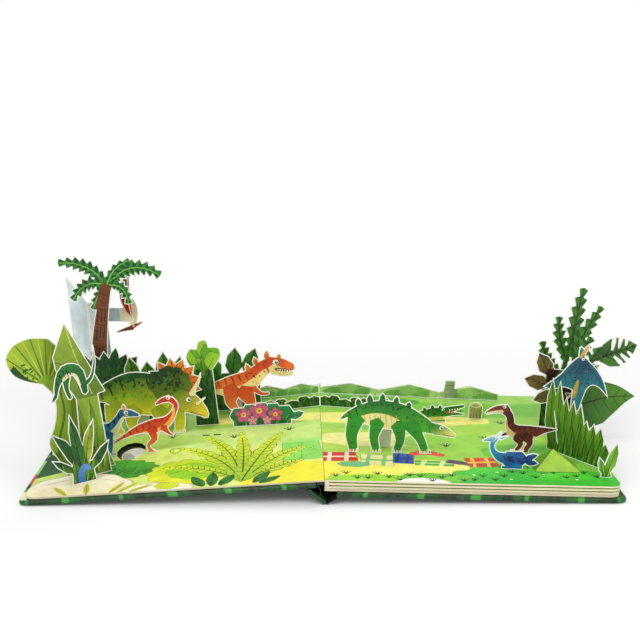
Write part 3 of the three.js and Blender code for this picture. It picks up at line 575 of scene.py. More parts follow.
def mixed(nodes, links, kind, factor, first, second):
    """A colour mixed or multiplied with another."""
    mix = nodes.new("ShaderNodeMix")
    mix.data_type = "RGBA"
    mix.blend_type = kind
    for socket, value in ((mix.inputs["Factor"], factor), (mix.inputs[6], first), (mix.inputs[7], second)):
        if isinstance(value, bpy.types.NodeSocket):
            links.new(value, socket)
        elif isinstance(value, str):
            socket.default_value = (*rgb(value), 1)
        else:
            socket.default_value = value
    return mix.outputs[2]


def grey(nodes, links, value):
    """A value as a grey colour."""
    combine = nodes.new("ShaderNodeCombineColor")
    for channel in ("Red", "Green", "Blue"):
        links.new(value, combine.inputs[channel])
    return combine.outputs["Color"]


def bumped(nodes, links, shader, height, distance, strength):
    """Fine relief from a height."""
    bump = nodes.new("ShaderNodeBump")
    bump.inputs["Distance"].default_value = distance
    bump.inputs["Strength"].default_value = strength
    links.new(height, bump.inputs["Height"])
    links.new(bump.outputs["Normal"], shader.inputs["Normal"])


def printed_finish(name, roughness, coat, brush=0.16, grain_scale=2600.0):
    """Coloured print with brush marks, a little mottle, paper grain and a satin film."""
    material, nodes, links, shader = new_material(name, roughness, coat)
    paint = nodes.new("ShaderNodeAttribute")
    paint.attribute_name = "Print"
    wide = spread(nodes, links, noise(nodes, links, 70.0, 5.0), 1 - brush, 1 + brush * 0.6)
    strokes = spread(nodes, links, noise(nodes, links, 160.0, 3.0, (1.0, 1.0, 0.25)), 1 - brush * 0.8,
                     1 + brush * 0.5)
    tone = mixed(nodes, links, "MULTIPLY", 1.0, paint.outputs["Color"], grey(nodes, links, wide))
    tone = mixed(nodes, links, "MULTIPLY", 1.0, tone, grey(nodes, links, strokes))
    speckle = spread(nodes, links, noise(nodes, links, 900.0, 2.0), 0.0, 0.06, 0.55, 0.75)
    tone = mixed(nodes, links, "MIX", speckle, tone, "f4f0a8")
    links.new(tone, shader.inputs["Base Color"])
    grain = noise(nodes, links, grain_scale, 2.0)
    links.new(spread(nodes, links, grain, roughness - 0.05, roughness + 0.08), shader.inputs["Roughness"])
    bumped(nodes, links, shader, grain, 0.00006, 0.25)
    return material


def board_core_finish(name, light, dark, roughness=0.75):
    """The cut edge of board: pale fibres in fine layers."""
    material, nodes, links, shader = new_material(name, roughness)
    layers = noise(nodes, links, 420.0, 3.0, (0.25, 0.25, 6.0))
    fibres = noise(nodes, links, 2400.0, 3.0)
    relief = spread(nodes, links, fibres, 0.86, 1.06)
    tone = mixed(nodes, links, "MIX", spread(nodes, links, layers, 0.0, 1.0), light, dark)
    tone = mixed(nodes, links, "MULTIPLY", 0.5, tone, grey(nodes, links, relief))
    links.new(tone, shader.inputs["Base Color"])
    bumped(nodes, links, shader, fibres, 0.0001, 0.35)
    return material


printed_card = printed_finish("printed card", 0.46, 0.12)
printed_page = printed_finish("printed page", 0.42, 0.15, 0.1)
cover_paper = printed_finish("laminated cover paper", 0.38, 0.15, 0.12)
card_core = board_core_finish("cut card edge", "f6f1e4", "e6dcc6")
leaf_core = board_core_finish("cut board leaf edge", "f6edd6", "e6d8b6")
plain_card = board_core_finish("plain white card", "f5f3ea", "e9e6da", 0.6)
hinge_paper = board_core_finish("folded hinge paper", HINGE_GREEN, "0c1f12", 0.5)


def up_of(body):
    """The direction that points straight off an open side's page."""
    return side_frame(body).to_3x3() @ Vector((0, 0, 1))


def settle(piece, body, slot, *nodes, flat=True):
    """The piece rides on its body and stands for its solids."""
    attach(piece, body)
    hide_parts(*nodes)
    if flat:
        tuple(up_of(body))
        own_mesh(piece)
    return piece


def feet_of(node, place):
    """Where the glued feet behind a standing sheet start and end."""
    points, _ = solid_points(node, place)
    rear = points[:, 2].min()
    if rear > TAB_SLACK - TAB_DEPTH:
        return []
    across = np.unique(np.round(points[np.abs(points[:, 2] - rear) < 0.05][:, 0], 1))
    return [(across[i], across[i + 1]) for i in range(0, len(across) - 1, 2)]


def standing_sheet(build, node, place, base, prints, border=EDGE_BORDER, foot_colour="dfe9b4"):
    """The flat part of one node that lies in this place, with its print on both sides."""
    rings = printed_outline(node, place, CARD)
    if not rings:
        raise RuntimeError(f"{node} has no printed side there")
    sheet = Sheet(rings, prints, border)
    front = sheet.colours(base, prints, CARD_WHITE)
    build.sheet(place, sheet, front, front, CARD, 0.0)
    for start, end in feet_of(node, place):
        build.block(place, (start, 0.0, -TAB_DEPTH), (end, CARD, GLUE), foot_colour, taper=TAB_TAPER)


def simple_sheet(node, body, place, art):
    """One card that stands by itself."""
    build = Build()
    standing_sheet(build, node, place, *art)
    settle(build.mesh(node + "_sheet", printed_card, card_core), body, "printed_card", node)


# Animals
def legs_print(legs, trim, light, dark, ink, pen, toes=(), toe=(), claw=None, fade_end=2):
    """Legs from hip to foot with a drawn edge, and their toes."""
    out = []
    for points in legs:
        ends = points[0][:2], points[fade_end][:2]
        out += inked(limb(points, 3, trim), fade(light, dark, *ends), ink, pen)
        out += [(blob(points[-1][0] + offset, *toe), claw) for offset in toes]
    return out


def horned_print():
    body = [(-50, 34, 0.8), (-40, 34, 3), (-28, 37, 9), (-10, 37, 17), (8, 34, 18), (24, 31, 14),
            (34, 28, 10)]
    prints = [(limb(body, 4, 1), fade("2e6a1f", "c9cf2c", (0, 50), (4, 20)))]
    prints += [(limb([(-30, 30, 5), (-12, 27, 9), (6, 24, 10), (20, 24, 8)]),
                fade("8fae28", "e4d83a", (0, 34), (0, 16)))]
    legs = ([(-22, 26, 9), (-25, 14, 6), (-22, 5, 4.4), (-20, 1, 4.6)],
            [(-8, 22, 8), (-10, 12, 5), (-8, 2, 4)],
            [(14, 20, 8), (13, 10, 5), (14, 2, 4)], [(26, 22, 8), (29, 12, 5), (28, 2, 4.2)])
    prints += legs_print(legs, -0.5, "a3b22a", "e0d43a", "7d8a22", 0.35,
                         (-2.6, 0, 2.6), (1.6, 1.2, 1.5, 0, 8), "f0e6b0")
    prints += scales_print((-4, 46), (26, 6), 46, 3, "1d4a17", 1.5)
    prints += scales_print((-6, 38), (28, 6), 40, 4, "5f9426", 1.3)
    prints += stripes_print([[(-44, 36), (-43, 32)], [(-39, 37.5), (-38, 31)], [(-33, 41), (-31, 32)],
                             [(-26, 46), (-23, 35)], [(-17, 51), (-14, 39)], [(-6, 54), (-4, 42)],
                             [(5, 53), (6, 42)]], "214f18", 2.2)
    prints += stripes_print([[(-16, 27), (-6, 20), (6, 18)], [(-18, 23), (-8, 16), (4, 14)]], "b8a62c", 0.7)
    spikes = []
    for i in range(17):
        angle = math.radians(-30 + 220 * i / 16)
        far = 17 + (i % 2) * 6 if i < 14 else 14
        spikes.append((27 + far * math.cos(angle), 42 + far * math.sin(angle)))
    prints += inked(poly(*spikes), fade("c8541d", "e8922f", (27, 28), (27, 62)), "7a3312", 0.2)
    prints += [(stroke([point_on(26, 41, a, 9), point_on(26, 41, a, 21)], 1.5, 1), "b34a1c")
               for a in range(-24, 150, 14)]
    prints += [(lobed(24, 42, 17.5, 15.5, 11, 0.1, 0.2), fade("1d5219", "7d8f22", (24, 54), (30, 30)))]
    prints += [(limb([(-6, 52, 3), (6, 52, 4), (18, 50, 5)]), fade("235c1a", "1d5219", (-6, 52), (16, 50)))]
    prints += scales_print((22, 46), (12, 9), 60, 5, "12400f", 1.6)
    prints += scales_print((28, 40), (9, 8), 30, 6, "55811f", 1.2)
    prints += inked(limb([(28, 30, 8.4), (38, 25, 8.4), (47, 18, 5), (51, 13, 2.2)]),
                    fade("6d8f22", "e6cf4a", (30, 36), (46, 16)), "37541a", 0.5)
    prints += inked(limb([(40, 32, 2.3), (46, 42, 1.3), (49, 49, 0.5)]), "f2e4b4", "6a5a28", 0.5)
    prints += inked(limb([(44, 24, 1.7), (50, 28.4, 0.5)]), "f2e4b4", "6a5a28", 0.4)
    prints += [(stroke([(38, 17.5), (44, 15), (49, 14)], 0.8, 3), "4a3a14")]
    prints += eye_print(37.5, 28, 2.3)
    return fade("2e6a1f", "cfd02f", (0, 50), (0, 8)), prints


def orange_theropod_print():
    body = [(-42, 26, 1), (-28, 29, 4), (-12, 30, 9), (2, 33, 9.5), (12, 40, 7.5), (20, 46, 6.5),
            (28, 47, 6)]
    prints = [(limb(body, 4, 1), fade("d9521f", "ef8f3a", (0, 44), (0, 24)))]
    prints += [(limb([(-30, 26, 2), (-14, 24, 4.5), (0, 25, 6), (11, 32, 5), (19, 39, 4.2), (27, 41, 4)]),
                "f5dd9a")]
    prints += stripes_print([[(-2 + 4 * i, 24.5 + 2.4 * i), (3 + 4 * i, 22.5 + 2.6 * i)] for i in range(6)],
                            "dca55c", 0.6)
    legs = ([(-10, 27, 8), (-12, 16, 5), (-8, 9, 3), (-9, 1, 2.8)],
            [(0, 25, 8), (4, 15, 5), (2, 8, 3), (4, 1, 2.8)])
    prints += legs_print(legs, -0.4, "d65a22", "f0a04a", "8a3413", 0.4,
                         (-2, 0.4, 2.8), (1.2, 0.9, 1.3, 0, 6), "f8ecc4", -1)
    prints += stripes_print([[(-34 + 6 * i, 31.5 + 1.1 * i + 3 * math.sin(i * 0.5)),
                              (-32 + 6 * i, 26.5 + 1.4 * i)]
                             for i in range(8)], "a83312", 1.7)
    prints += inked(limb([(22, 47, 6.6), (32, 46, 5.6), (41, 43, 3.6)]),
                    fade("d84a1c", "ee7d34", (26, 53), (34, 42)), "8a3413", 0.4)
    prints += [(limb([(24, 43, 4.6), (34, 39.2, 3.1), (41, 38.2, 1.4)]), "f6e0a0")]
    prints += [(limb([(27, 42.6, 1.2), (34, 41.4, 1.3), (42, 40.6, 0.7)]), "7a1f14")]
    prints += teeth_print([(29 + 1.9 * i, 42.5 - 0.25 * i) for i in range(7)], 1.3)
    prints += teeth_print([(30 + 2.3 * i, 40.2 - 0.2 * i) for i in range(5)], 1.1, False)
    prints += scales_print((32, 43), (8, 2), 12, 8, "e4b264", 0.5)
    prints += [(blob(41.5, 45, 0.7, 0.5, 0, 6), "5a1d10")]
    for x, y, angle, length in ((6, 40, 110, 10), (12, 46, 105, 9), (20, 50, 85, 10), (29, 49, 70, 8)):
        fill = fade("c23c16", "f0a23a", (x, y), point_on(x, y, angle, length))
        prints += inked(leaf(x, y, angle, length, 5.4), fill, "8a3413", 0.3)
    prints += inked(limb([(8, 27, 2.6), (14, 22, 1.7), (20, 22, 1.1)]), "e26a2a", "8a3413", 0.3)
    prints += scales_print((8, 37), (13, 5), 22, 9, "b8401a", 0.8)
    prints += eye_print(27.4, 48.6, 2.5)
    return fade("d9521f", "efa04a", (0, 50), (0, 5)), prints


def blue_dinosaur_print():
    body = [(-27, 38, 0.8), (-23, 39, 2), (-19, 33, 3.6), (-14, 25, 5.6), (-5, 20, 7.4), (5, 22, 6),
            (11, 29, 3.8), (15, 34, 3.6)]
    prints = [(limb(body, 4, 1), fade("1f6f9a", "3aa6c8", (0, 30), (0, 14)))]
    prints += [(limb([(-8, 13.6, 2.2), (2, 15.6, 3), (9, 21, 2.6), (15, 29, 2.2), (19, 31.4, 1.6)]),
                "f1e7b0")]
    legs = ([(-12, 20, 5), (-14, 11, 3.4), (-12, 1, 2.8)], [(2, 18, 4.4), (3, 10, 2.8), (2, 1, 2.6)])
    prints += legs_print(legs, -0.3, "1d6a94", "46a8c4", "123f5c", 0.4,
                         (-1.6, 0.6, 2.6), (1.2, 0.8, 1.1, 0, 6), "f4eed0")
    rows = [[(-26.4, 40), (-25, 37)], [(-24, 41), (-22.4, 36.4)], [(-21.6, 38.6), (-19.6, 33)],
            [(-18, 34.6), (-16.6, 29)], [(-14.6, 30.4), (-13.4, 24.6)], [(-10.6, 27.6), (-9.4, 21)],
            [(-6, 27), (-5.4, 20)], [(-1.4, 27), (-1.4, 20.6)], [(3, 28), (3.6, 22.6)],
            [(7, 31), (8.4, 26)], [(10.4, 35), (12.4, 30.6)]]
    prints += stripes_print(rows, "0f2b4a", 2.1)
    prints += [(stroke([(16, 31.6), (22, 32), (27.4, 31.4)], 0.6, 3), "123f5c")]
    prints += inked(leaf(17, 36, 100, 5.4, 3.4), "e0a83a", "123f5c", 0.3)
    prints += eye_print(17.6, 34.8, 1.7)
    return fade("1f6f9a", "4ab0c8", (0, 36), (0, 4)), prints


def red_dinosaur_print():
    body = [(-36, 8, 0.7), (-24, 15, 2), (-12, 20, 4), (0, 22, 6), (9, 25, 4.6), (15, 32, 2.6),
            (17, 38, 2.4), (13, 43, 2.8)]
    prints = [(limb(body, 4, 1), fade("d63a17", "ec6a2a", (0, 28), (0, 16)))]
    prints += [(limb([(-10, 16.4, 1), (0, 17.2, 2), (8, 21, 2), (13.6, 28, 1.2), (15.4, 35, 1)]), "f3b65a")]
    prints += inked(limb([(-3, 19, 4), (-2, 11, 2.7), (-7, 6, 1.6), (-5, 1, 1.6)]),
                    fade("d8431b", "f08a34", (-3, 19), (-6, 4)), "8c220d", 0.3)
    prints += inked(limb([(6, 20, 2.8), (10, 15, 1.3), (13, 13, 0.8)]), "dc4c1e", "8c220d", 0.3)
    prints += stripes_print([[(-30 + 5 * i, 13.6 + 2.4 * i), (-29 + 5 * i, 10.4 + 2.3 * i)]
                             for i in range(8)], "96230f", 1.2)
    prints += [(stroke([(11, 41.4), (7, 41), (3, 39)], 0.6, 3), "7a1a0c")]
    prints += scales_print((2, 23), (10, 4), 16, 12, "b02c10", 0.6)
    prints += eye_print(11.6, 43.6, 1.5, -0.25)
    return fade("d63a17", "f08a34", (0, 34), (0, 3)), prints


def long_neck_print():
    body = [(-40, 26, 0.9), (-34, 30, 3), (-26, 31, 7), (-12, 31, 11), (4, 29, 11), (18, 25, 8),
            (28, 21, 5), (34, 20, 4.4)]
    prints = []
    for x, y, angle, length in ((-26, 35, 100, 9), (-18, 38, 95, 9), (-9, 39, 90, 9), (1, 37, 85, 9),
                                (10, 34, 78, 8)):
        prints += leaf_print(x, y, angle, length, 5.6, "3f8f2e", "1f5f24", "123c14", veins=2)
    prints += [(limb(body, 4, 1), fade("1f8030", "57b52e", (0, 40), (0, 18)))]
    prints += inked(limb([(-25, 26, 3), (-16, 25, 6.4), (-5, 24, 6.4), (5, 23, 3)]), "ece4a4", "a8a050",
                    0.4)
    prints += stripes_print([[(-22 + 4 * i, 30), (-20.6 + 4 * i, 19.5)] for i in range(7)], "c2b662", 0.6)
    prints += scales_print((-8, 38), (22, 3.4), 44, 14, "14601f", 1.2)
    prints += scales_print((16, 27), (12, 4), 22, 15, "187026", 0.9)
    for points in ([(-28, 27, 7), (-31, 14, 5), (-29, 1, 4)], [(-12, 24, 6), (-14, 12, 4), (-12, 1, 3.6)],
                   [(4, 22, 6), (6, 11, 4), (4, 1, 3.6)], [(14, 22, 6), (21, 12, 4), (25, 1, 3.6)]):
        prints += inked(limb(points, 3, -0.4), fade("2f9a30", "43a02e", points[0][:2], points[2][:2]),
                        "1c6a28", 0.35)
        middle = [((a + b) / 2 for a, b in zip(points[k], points[k + 1])) for k in range(2)]
        prints += [(stroke([(x - 2, y), (x + 2, y + 0.6)], 0.7, 2), "0f5a1f") for x, y, _ in middle]
        prints += [(blob(points[-1][0] + d, 1.3, 1, 1.3, 0, 6), "efe9b8") for d in (-2.4, 0, 2.4)]
    prints += inked(limb([(30, 21, 4.6), (40, 18, 3.6), (47, 15, 1.7)]),
                    fade("3aa02e", "e8e28e", (34, 22), (40, 14)), "0f4a1b", 0.3)
    prints += [(stroke([(38, 16), (43, 14.8), (48, 14.6)], 0.6, 3), "3b5a16")]
    prints += stripes_print([[(-38, 30), (-37, 26)], [(-34, 33), (-32, 27)], [(-29, 37), (-27, 29)]],
                            "125a1e", 1.5)
    prints += eye_print(36.6, 21, 1.7)
    return fade("1f8030", "5ab52e", (0, 44), (0, 4)), prints


def maroon_theropod_print():
    body = [(26, 20, 0.8), (16, 19, 3), (6, 17, 6), (-4, 17, 6.4), (-10, 22, 4.4), (-11, 30, 3.4),
            (-16, 35, 3.6)]
    prints = [(limb(body, 4, 1), fade("5c1d18", "8e3a26", (0, 26), (0, 12)))]
    prints += [(limb([(10, 12.6, 1.4), (2, 12, 2.6), (-6, 13.4, 2.6), (-13, 20, 2), (-14.4, 28, 1.4)]),
                "e2c48c")]
    legs = ([(3, 14, 5), (6, 8, 3), (3, 1, 2.4)], [(-4, 13, 4.4), (-1, 7, 2.6), (-4, 1, 2.2)])
    prints += legs_print(legs, -0.3, "641f19", "9a4a2c", "34100c", 0.3)
    prints += stripes_print([[(22 - 4 * i, 22.4 + 0.4 * i), (21 - 4 * i, 18)] for i in range(8)], "3a120f",
                            1.1)
    prints += inked(limb([(-13, 35.6, 3.8), (-21, 36, 2.9), (-29, 33.4, 1.4)]),
                    fade("7a2a20", "a04a2e", (-12, 38), (-28, 32)), "34100c", 0.3)
    prints += [(limb([(-17, 33.2, 1.6), (-23, 32.2, 1.6), (-29, 31, 0.9)]), "ecd9a2")]
    prints += teeth_print([(-28 + 1.8 * i, 32.8 + 0.2 * i) for i in range(5)], 1.0)
    prints += eye_print(-15.6, 37, 1.4, -0.25)
    return fade("5c1d18", "8e3a26", (0, 34), (0, 4)), prints


def hatchling_print():
    prints = [(blob(9, 8, 12, 7.4), fade("1f4f9a", "2f86c0", (9, 14), (9, 2)))]
    prints += [(limb([(8, 8, 6), (0, 9, 4.4), (-6, 13, 2.6), (-8, 19, 2.2), (-6, 23, 2.4)]),
                fade("2b6cb0", "35a0c8", (6, 8), (-7, 22)))]
    for i in range(5):
        prints += inked(leaf(1 + 3.4 * i, 10 - i * 0.6, -28, 8, 3.4), "1a3f86" if i % 2 else "2a5ca6",
                        "0d2350", 0.3)
    prints += leaf_print(16, 8, 20, 11, 5, "3a76c0", "17377a", "0d2350", veins=2)
    prints += leaf_print(16, 6, -5, 11, 5, "2f66b0", "17377a", "0d2350", veins=2)
    prints += [(leaf(-5, 24, 60, 6.6, 2.6), "c8dff0"), (leaf(-4, 23, 20, 7.4, 2.6), "8fc0e0")]
    prints += [(limb([(-6, 23.4, 2.2), (-10, 23, 1.6), (-15, 22, 0.6)]), "8cc8dc")]
    prints += [(stroke([(-8, 22.6), (-14, 21.6)], 0.5, 1), "2a4f6a")]
    prints += eye_print(-6.2, 24, 1.2, -0.2)
    return fade("1f4f9a", "35a0c8", (9, 3), (-7, 24)), prints


def crocodile_print():
    prints = [(limb([(-22, 5, 0.8), (-12, 6, 3), (0, 8, 5), (10, 9, 4.4)], 4, 1),
               fade("1f6a2c", "4a9a34", (0, 12), (0, 4)))]
    prints += [(limb([(8, 9, 4), (16, 12, 2.6), (26, 15, 1.2)]), "2c7a30"),
               (limb([(8, 7.6, 3.4), (17, 7.6, 1.8), (26, 7, 0.8)]), "3c8a34")]
    prints += [(poly((10, 9), (25, 12.6), (25, 9), (12, 8)), "b8403a")]
    prints += teeth_print([(14 + 2.2 * i, 11.6 + 0.4 * i) for i in range(5)], 1.3)
    prints += teeth_print([(14 + 2.2 * i, 8.8) for i in range(5)], 1.2, False)
    prints += scales_print((-2, 9), (12, 2.4), 26, 21, "174f20", 0.7)
    prints += [(limb([(-10, 3, 0.8), (0, 3, 1.6), (10, 4, 1.4)]), "d8d27a")]
    prints += eye_print(8.6, 11.4, 1.2)
    return fade("1f6a2c", "6aa83a", (0, 14), (0, 1)), prints


def arched_print():
    prints = [(limb([(-6, 66, 1.6), (-4, 74, 2.6), (2, 83, 4.4), (10, 82, 4.6), (14, 72, 3.4),
                     (15, 64, 2.4)], 4, 1),
               fade("2f8a3c", "1d5f2a", (4, 88), (8, 62)))]
    prints += [(limb([(0, 76, 1), (4, 79, 1.6), (9, 77.6, 1.6), (11.6, 70, 1)]), "e8dcae")]
    prints += stripes_print([[(-4.6 + 2.6 * i, 76 + 3.8 * math.sin(i * 0.62) * 2),
                              (-2.6 + 2.4 * i, 72 + 6 * math.sin(i * 0.62))]
                             for i in range(6)], "12401c", 1.0)
    prints += stripes_print([[(19, 76), (22, 75)], [(20.6, 80), (23.6, 79)], [(22.4, 86), (25, 85.4)],
                             [(23, 92), (25, 92)]], "12401c", 0.8)
    return "2a7a34", prints


# Plants
def palm_print():
    crown = (18, 116)
    prints = []
    fronds = (((6, 138), (-21, 137), 15, 8), ((40, 140), (64, 121), 17, 9), ((0, 124), (-12, 104), 14, 7),
              ((10, 110), (4, 95), 11, 5), ((34, 118), (35, 98), 13, 6), ((24, 132), (40, 136), 10, 5))
    for bend, end, width, teeth in fronds:
        prints += frond_print(crown, bend, end, width * 1.15, teeth, "3f9340", "17602c", "8fbf62")
    trunk = [(0, 4, 11.5), (2, 30, 9.6), (8, 74, 7.4), (16, 110, 5.2), (18, 114, 4.4)]
    prints += [(limb([(0, -4, 11.5)] + trunk, 4), fade("4a2814", "8a5230", (-6, 40), (14, 44)))]
    for i in range(17):
        t = i / 16
        x, y = 17 * t ** 1.3, 4 + 104 * t
        wide = 10.5 - 5.4 * t
        scar = [(x - wide, y + 2), (x - wide * 0.2, y - 0.8), (x + wide * 0.9, y + 1.6)]
        prints += [(stroke(scar, 0.8, 3), "331a0c")]
        prints += [(stroke([(x - wide * 0.7, y + 4.4), (x + wide * 0.1, y + 3)], 0.6, 2), "754526")]
    prints += [(stroke([(x + 16 * t, 8 + 96 * t), (x + 16 * t + 2, 18 + 96 * t)], 1.0, 2), "331a0c")
               for x in (-6, -3, 0, 3, 6) for t in (0.05, 0.2, 0.35, 0.5, 0.65, 0.8)]
    return fade("1f7a34", "2f9040", (0, 100), (40, 136)), prints


def leafy_prints(leaves, light, dark, vein=INK, veins=4):
    """Leaves, each given by x, y, angle, length, width and maybe a bend."""
    out = []
    for x, y, angle, length, width, *bend in leaves:
        out += leaf_print(x, y, angle, length, width, light, dark, vein, bend[0] if bend else 0.0, veins)
    return out


def palm_bush_print():
    leaves = [(-15 + 5 * i, 44, 135 - 15 * i, 20 + 3 * math.sin(i * 2), 10) for i in range(7)]
    prints = leafy_prints(leaves, "1f6a2c", "0e3a18", "082610")
    for row in range(4):
        prints += leafy_prints([(-16 + 6.4 * i + 3 * (row % 2), 36 - 11 * row, 120 - 11 * i, 16, 8)
                                for i in range(6)],
                               "2a7a30", "113f1b", "082610", 3)
    return "123f1b", prints


def leaf_row_print():
    heights = (60, 55, 63, 58)
    prints = leafy_prints([(-17 + 11.5 * i, 30, 96 - 5 * i, h - 30, 15) for i, h in enumerate(heights)],
                          "6fa832", "2c6a22")
    prints += leafy_prints([(-20 + 10 * i, 6, 105 - 8 * i, 36, 13) for i in range(5)], "4f8f2a", "1f561f")
    return "2c6a22", prints


def arch_leaves_print():
    prints = leafy_prints([(-14, 30, 118, 26, 16), (-3, 30, 82, 27, 16), (8, 30, 68, 27, 15),
                           (16, 30, 40, 24, 13)], "55a032", "1f6a2a")
    prints += leafy_prints([(-14 + 9 * i, 2, 110 - 12 * i, 32, 13) for i in range(4)], "3f8a2e", "1a5424")
    return "2a7028", prints


def frill_leaf_print():
    prints = []
    for i, (x, y) in enumerate(((-11, 60), (-8, 66), (-2, 71), (4, 71), (9, 67), (12, 60))):
        prints += inked(lobed(x * 0.72, y - 5, 7, 8, 5, 0.1), "a6d43a" if i % 2 else "79bd30", "3a7020",
                        0.4)
        prints += [(stroke([(x * 0.2, 46), (x * 0.8, y - 2)], 0.8, 2), "3f7a22")]
    for row in range(4):
        prints += leafy_prints([(-8 + 5.4 * i + 2 * (row % 2), 34 - 11 * row, 112 - 14 * i, 15, 6)
                                for i in range(4)],
                               "2f7a2c", "17501f", "0b2a10", 2)
    return fade("1f5a22", "8cc234", (0, 30), (0, 62)), prints


def flower(x, y, size, petal, middle):
    """A flower with five petals."""
    out = []
    for i in range(5):
        a = 72 * i + 18
        px, py = point_on(x, y, a, size * 0.62)
        out += inked(blob(px, py, size * 0.52, size * 0.4, a, 12), petal, "7a2447", 0.3)
    out += [(blob(x, y, size * 0.34, None, 0, 10), middle), (blob(x, y, size * 0.16, None, 0, 8), "a8641e")]
    return out


def flower_bush_print():
    prints = []
    for i in range(5):
        height = 14 + 5 * math.sin(math.pi * (i + 0.5) / 5)
        prints += inked(lobed(-19 + 9.5 * i, height - 6, 8.6, 8.6, 7, 0.1),
                        fade("1f6a34", "2f9a6a", (0, 4), (0, 18)), "0f3a20", 0.4)
        prints += [(lobed(-18 + 9.5 * i, height - 7, 5, 5, 6, 0.14), "2a8a4a")]
    prints += leafy_prints([(-22 + 8 * i, 0, 118 - 12 * i, 11, 5) for i in range(6)], "58b06a", "17573a",
                           "0f3a20", 2)
    prints += leafy_prints([(22, 5, 20, 13, 7)], "4fae7a", "1a6a52", "0f3a20", 3)
    for x, y, size in ((-15, 10, 6), (-2, 13, 7), (11, 9, 5.4), (-8, 4.6, 3.6), (4, 4.4, 3.4)):
        prints += flower(x, y, size, "d9669a" if size > 5 else "eaa0bf", "f5d24a")
    return fade("1a6a44", "2f8f86", (0, 0), (0, 20)), prints


def wing_print():
    prints = [(poly((-60, 74), (60, 60), (60, 130), (-60, 130)),
               fade("b9cf3c", "6d9a2a", (-34, 96), (16, 84)))]
    for i in range(15):
        vein = [point_on(-9, 72, 60 + 8.4 * i, far) for far in (8, 46)]
        colour = "6a8f26" if i % 2 else "d3e05c"
        prints += [(stroke(vein, 0.7 + 0.5 * (i % 2), 2), colour)]
    prints += [(stroke([(-4, 0), (-6, 26), (1, 50), (-2, 76)], 2.6, 4), "5f8a24"),
               (stroke([(10, 2), (6, 34), (8, 70)], 1.6, 4), "79a02c")]
    prints += scales_print((-26, 84), (10, 6), 20, 31, "2b6a22", 1.1)
    prints += leafy_prints([(-33 + 3 * i, 82 - 1.6 * i, 70 + 14 * i, 9, 3.4) for i in range(6)], "2f7a2a",
                           "17501c", "123c14", 0)
    prints += leafy_prints([(-4 + 5.5 * i, 0, 104 - 5 * i, 22 + 4 * (i % 3), 6) for i in range(7)],
                           "9fc03a", "4f8228", "2f5a1a", 2)
    return fade("8fb038", "c4d446", (6, 20), (-28, 92)), prints


def kite_print():
    prints = [(poly((6, 118), (-5, 94), (-4, 84), (8, 60), (34, 60)),
               fade("9cb53c", "6f8f2c", (-4, 96), (24, 76)))]
    prints += [(stroke([(6, 117), (11, 92), (20, 62)], 1.2, 3), "c6d27a"),
               (stroke([(-4, 90), (8, 84), (20, 72)], 0.7, 3), "5d7c24")]
    prints += scales_print((8, 84), (10, 14), 40, 33, "88a236", 0.8)
    prints += leafy_prints([(8 + 4.6 * i, 2 + 3 * (i % 2), 102 - 6 * i, 56, 9) for i in range(5)], "a8c43e",
                           "5f8a28", "2f5a1a", 5)
    return fade("7f9c34", "a9bf45", (10, 10), (6, 110)), prints


def fern_cluster_print():
    prints = leafy_prints([(0, 8, 140, 22, 7), (10, 8, 52, 26, 8), (2, 10, 118, 36, 9, -3)], "2f7a26",
                          "14461a", "0b2a10")
    prints += leafy_prints([(7, 10, 76, 38, 9, 2)], "c8cf3a", "5f8a24", "2f5a1a")
    prints += leafy_prints([(4, 10, 96, 44, 9)], "3f8f2c", "17501c", "0b2a10")
    prints += leafy_prints([(-2 + 4 * i, 1, 115 - 14 * i, 18, 6) for i in range(5)], "7fb030", "2f6a20",
                           "0b2a10", 2)
    prints += inked(limb([(3, 0, 2.6), (3, 7, 2.8), (6, 12, 2.4), (9.6, 10, 1.6)]),
                    fade("2f6fb4", "6fa8d8", (2, 0), (8, 12)), "173a6a", 0.4)
    return "1f5a1f", prints


def monstera_print():
    prints = [(poly((-30, 0), (-4, 0), (0, 44), (-30, 44)), "2f6a20")]
    prints += leafy_prints([(-26 + 6 * i, 2, 108 - 9 * i, 38, 11) for i in range(4)], "4f8f28", "1d4f18")
    fronds = (((-8, 60), (-9, 92), (-3, 119), 15, 7), ((-9, 62), (4, 88), (13, 104), 13, 6),
              ((-11, 56), (-22, 78), (-21, 95), 13, 6), ((-14, 44), (-30, 56), (-33, 74), 13, 6),
              ((-6, 36), (-4, 64), (8, 78), 14, 6))
    for start, bend, end, width, teeth in fronds:
        prints += frond_print(start, bend, end, width * 1.3, teeth, "4c8a26", "2f661c", "1b3b0c")
    for x, y, angle, length, width in ((14, 60, 22, 34, 26), (-2, 42, 58, 34, 20)):
        prints += leaf_print(x, y, angle, length, width, "5a9428", "2f6a1c", "16300a", 0.0, 6)
    prints += [(stroke([(-16, 28), (-12, 60), (-7, 92), (-5, 112)], 2.2, 4), "2f5a18")]
    prints += [(stroke([(-8, 40), (8, 56), (22, 66)], 2.0, 4), "2f5a18")]
    return fade("2f661c", "4f8a26", (-10, 20), (0, 110)), prints


def broad_leaf_print():
    prints = leafy_prints([(-16 + 6 * i, 0, 96 - 6 * i, 22, 9) for i in range(4)], "4a8a28", "1f5a1c")
    prints += inked(poly((-14, 22), (-4, 38), (12, 45), (30, 42), (45, 34), (37, 28), (22, 11), (4, 3)),
                    fade("2f6f1e", "639a2a", (-8, 16), (38, 38)), "1d3c0d", 0.4)
    prints += [(stroke([(-10, 20), (8, 28), (26, 33), (43, 34)], 1.5, 4), "21440f")]
    for i in range(6):
        x, y = -4 + 8 * i, 22 + 2.6 * i - 0.1 * i * i
        prints += [(stroke([(x, y), (x + 4, y + 13 - i)], 0.7, 2), "2a5414"),
                   (stroke([(x, y), (x + 6, y - 11 + i)], 0.7, 2), "2a5414")]
    return "2f6f20", prints


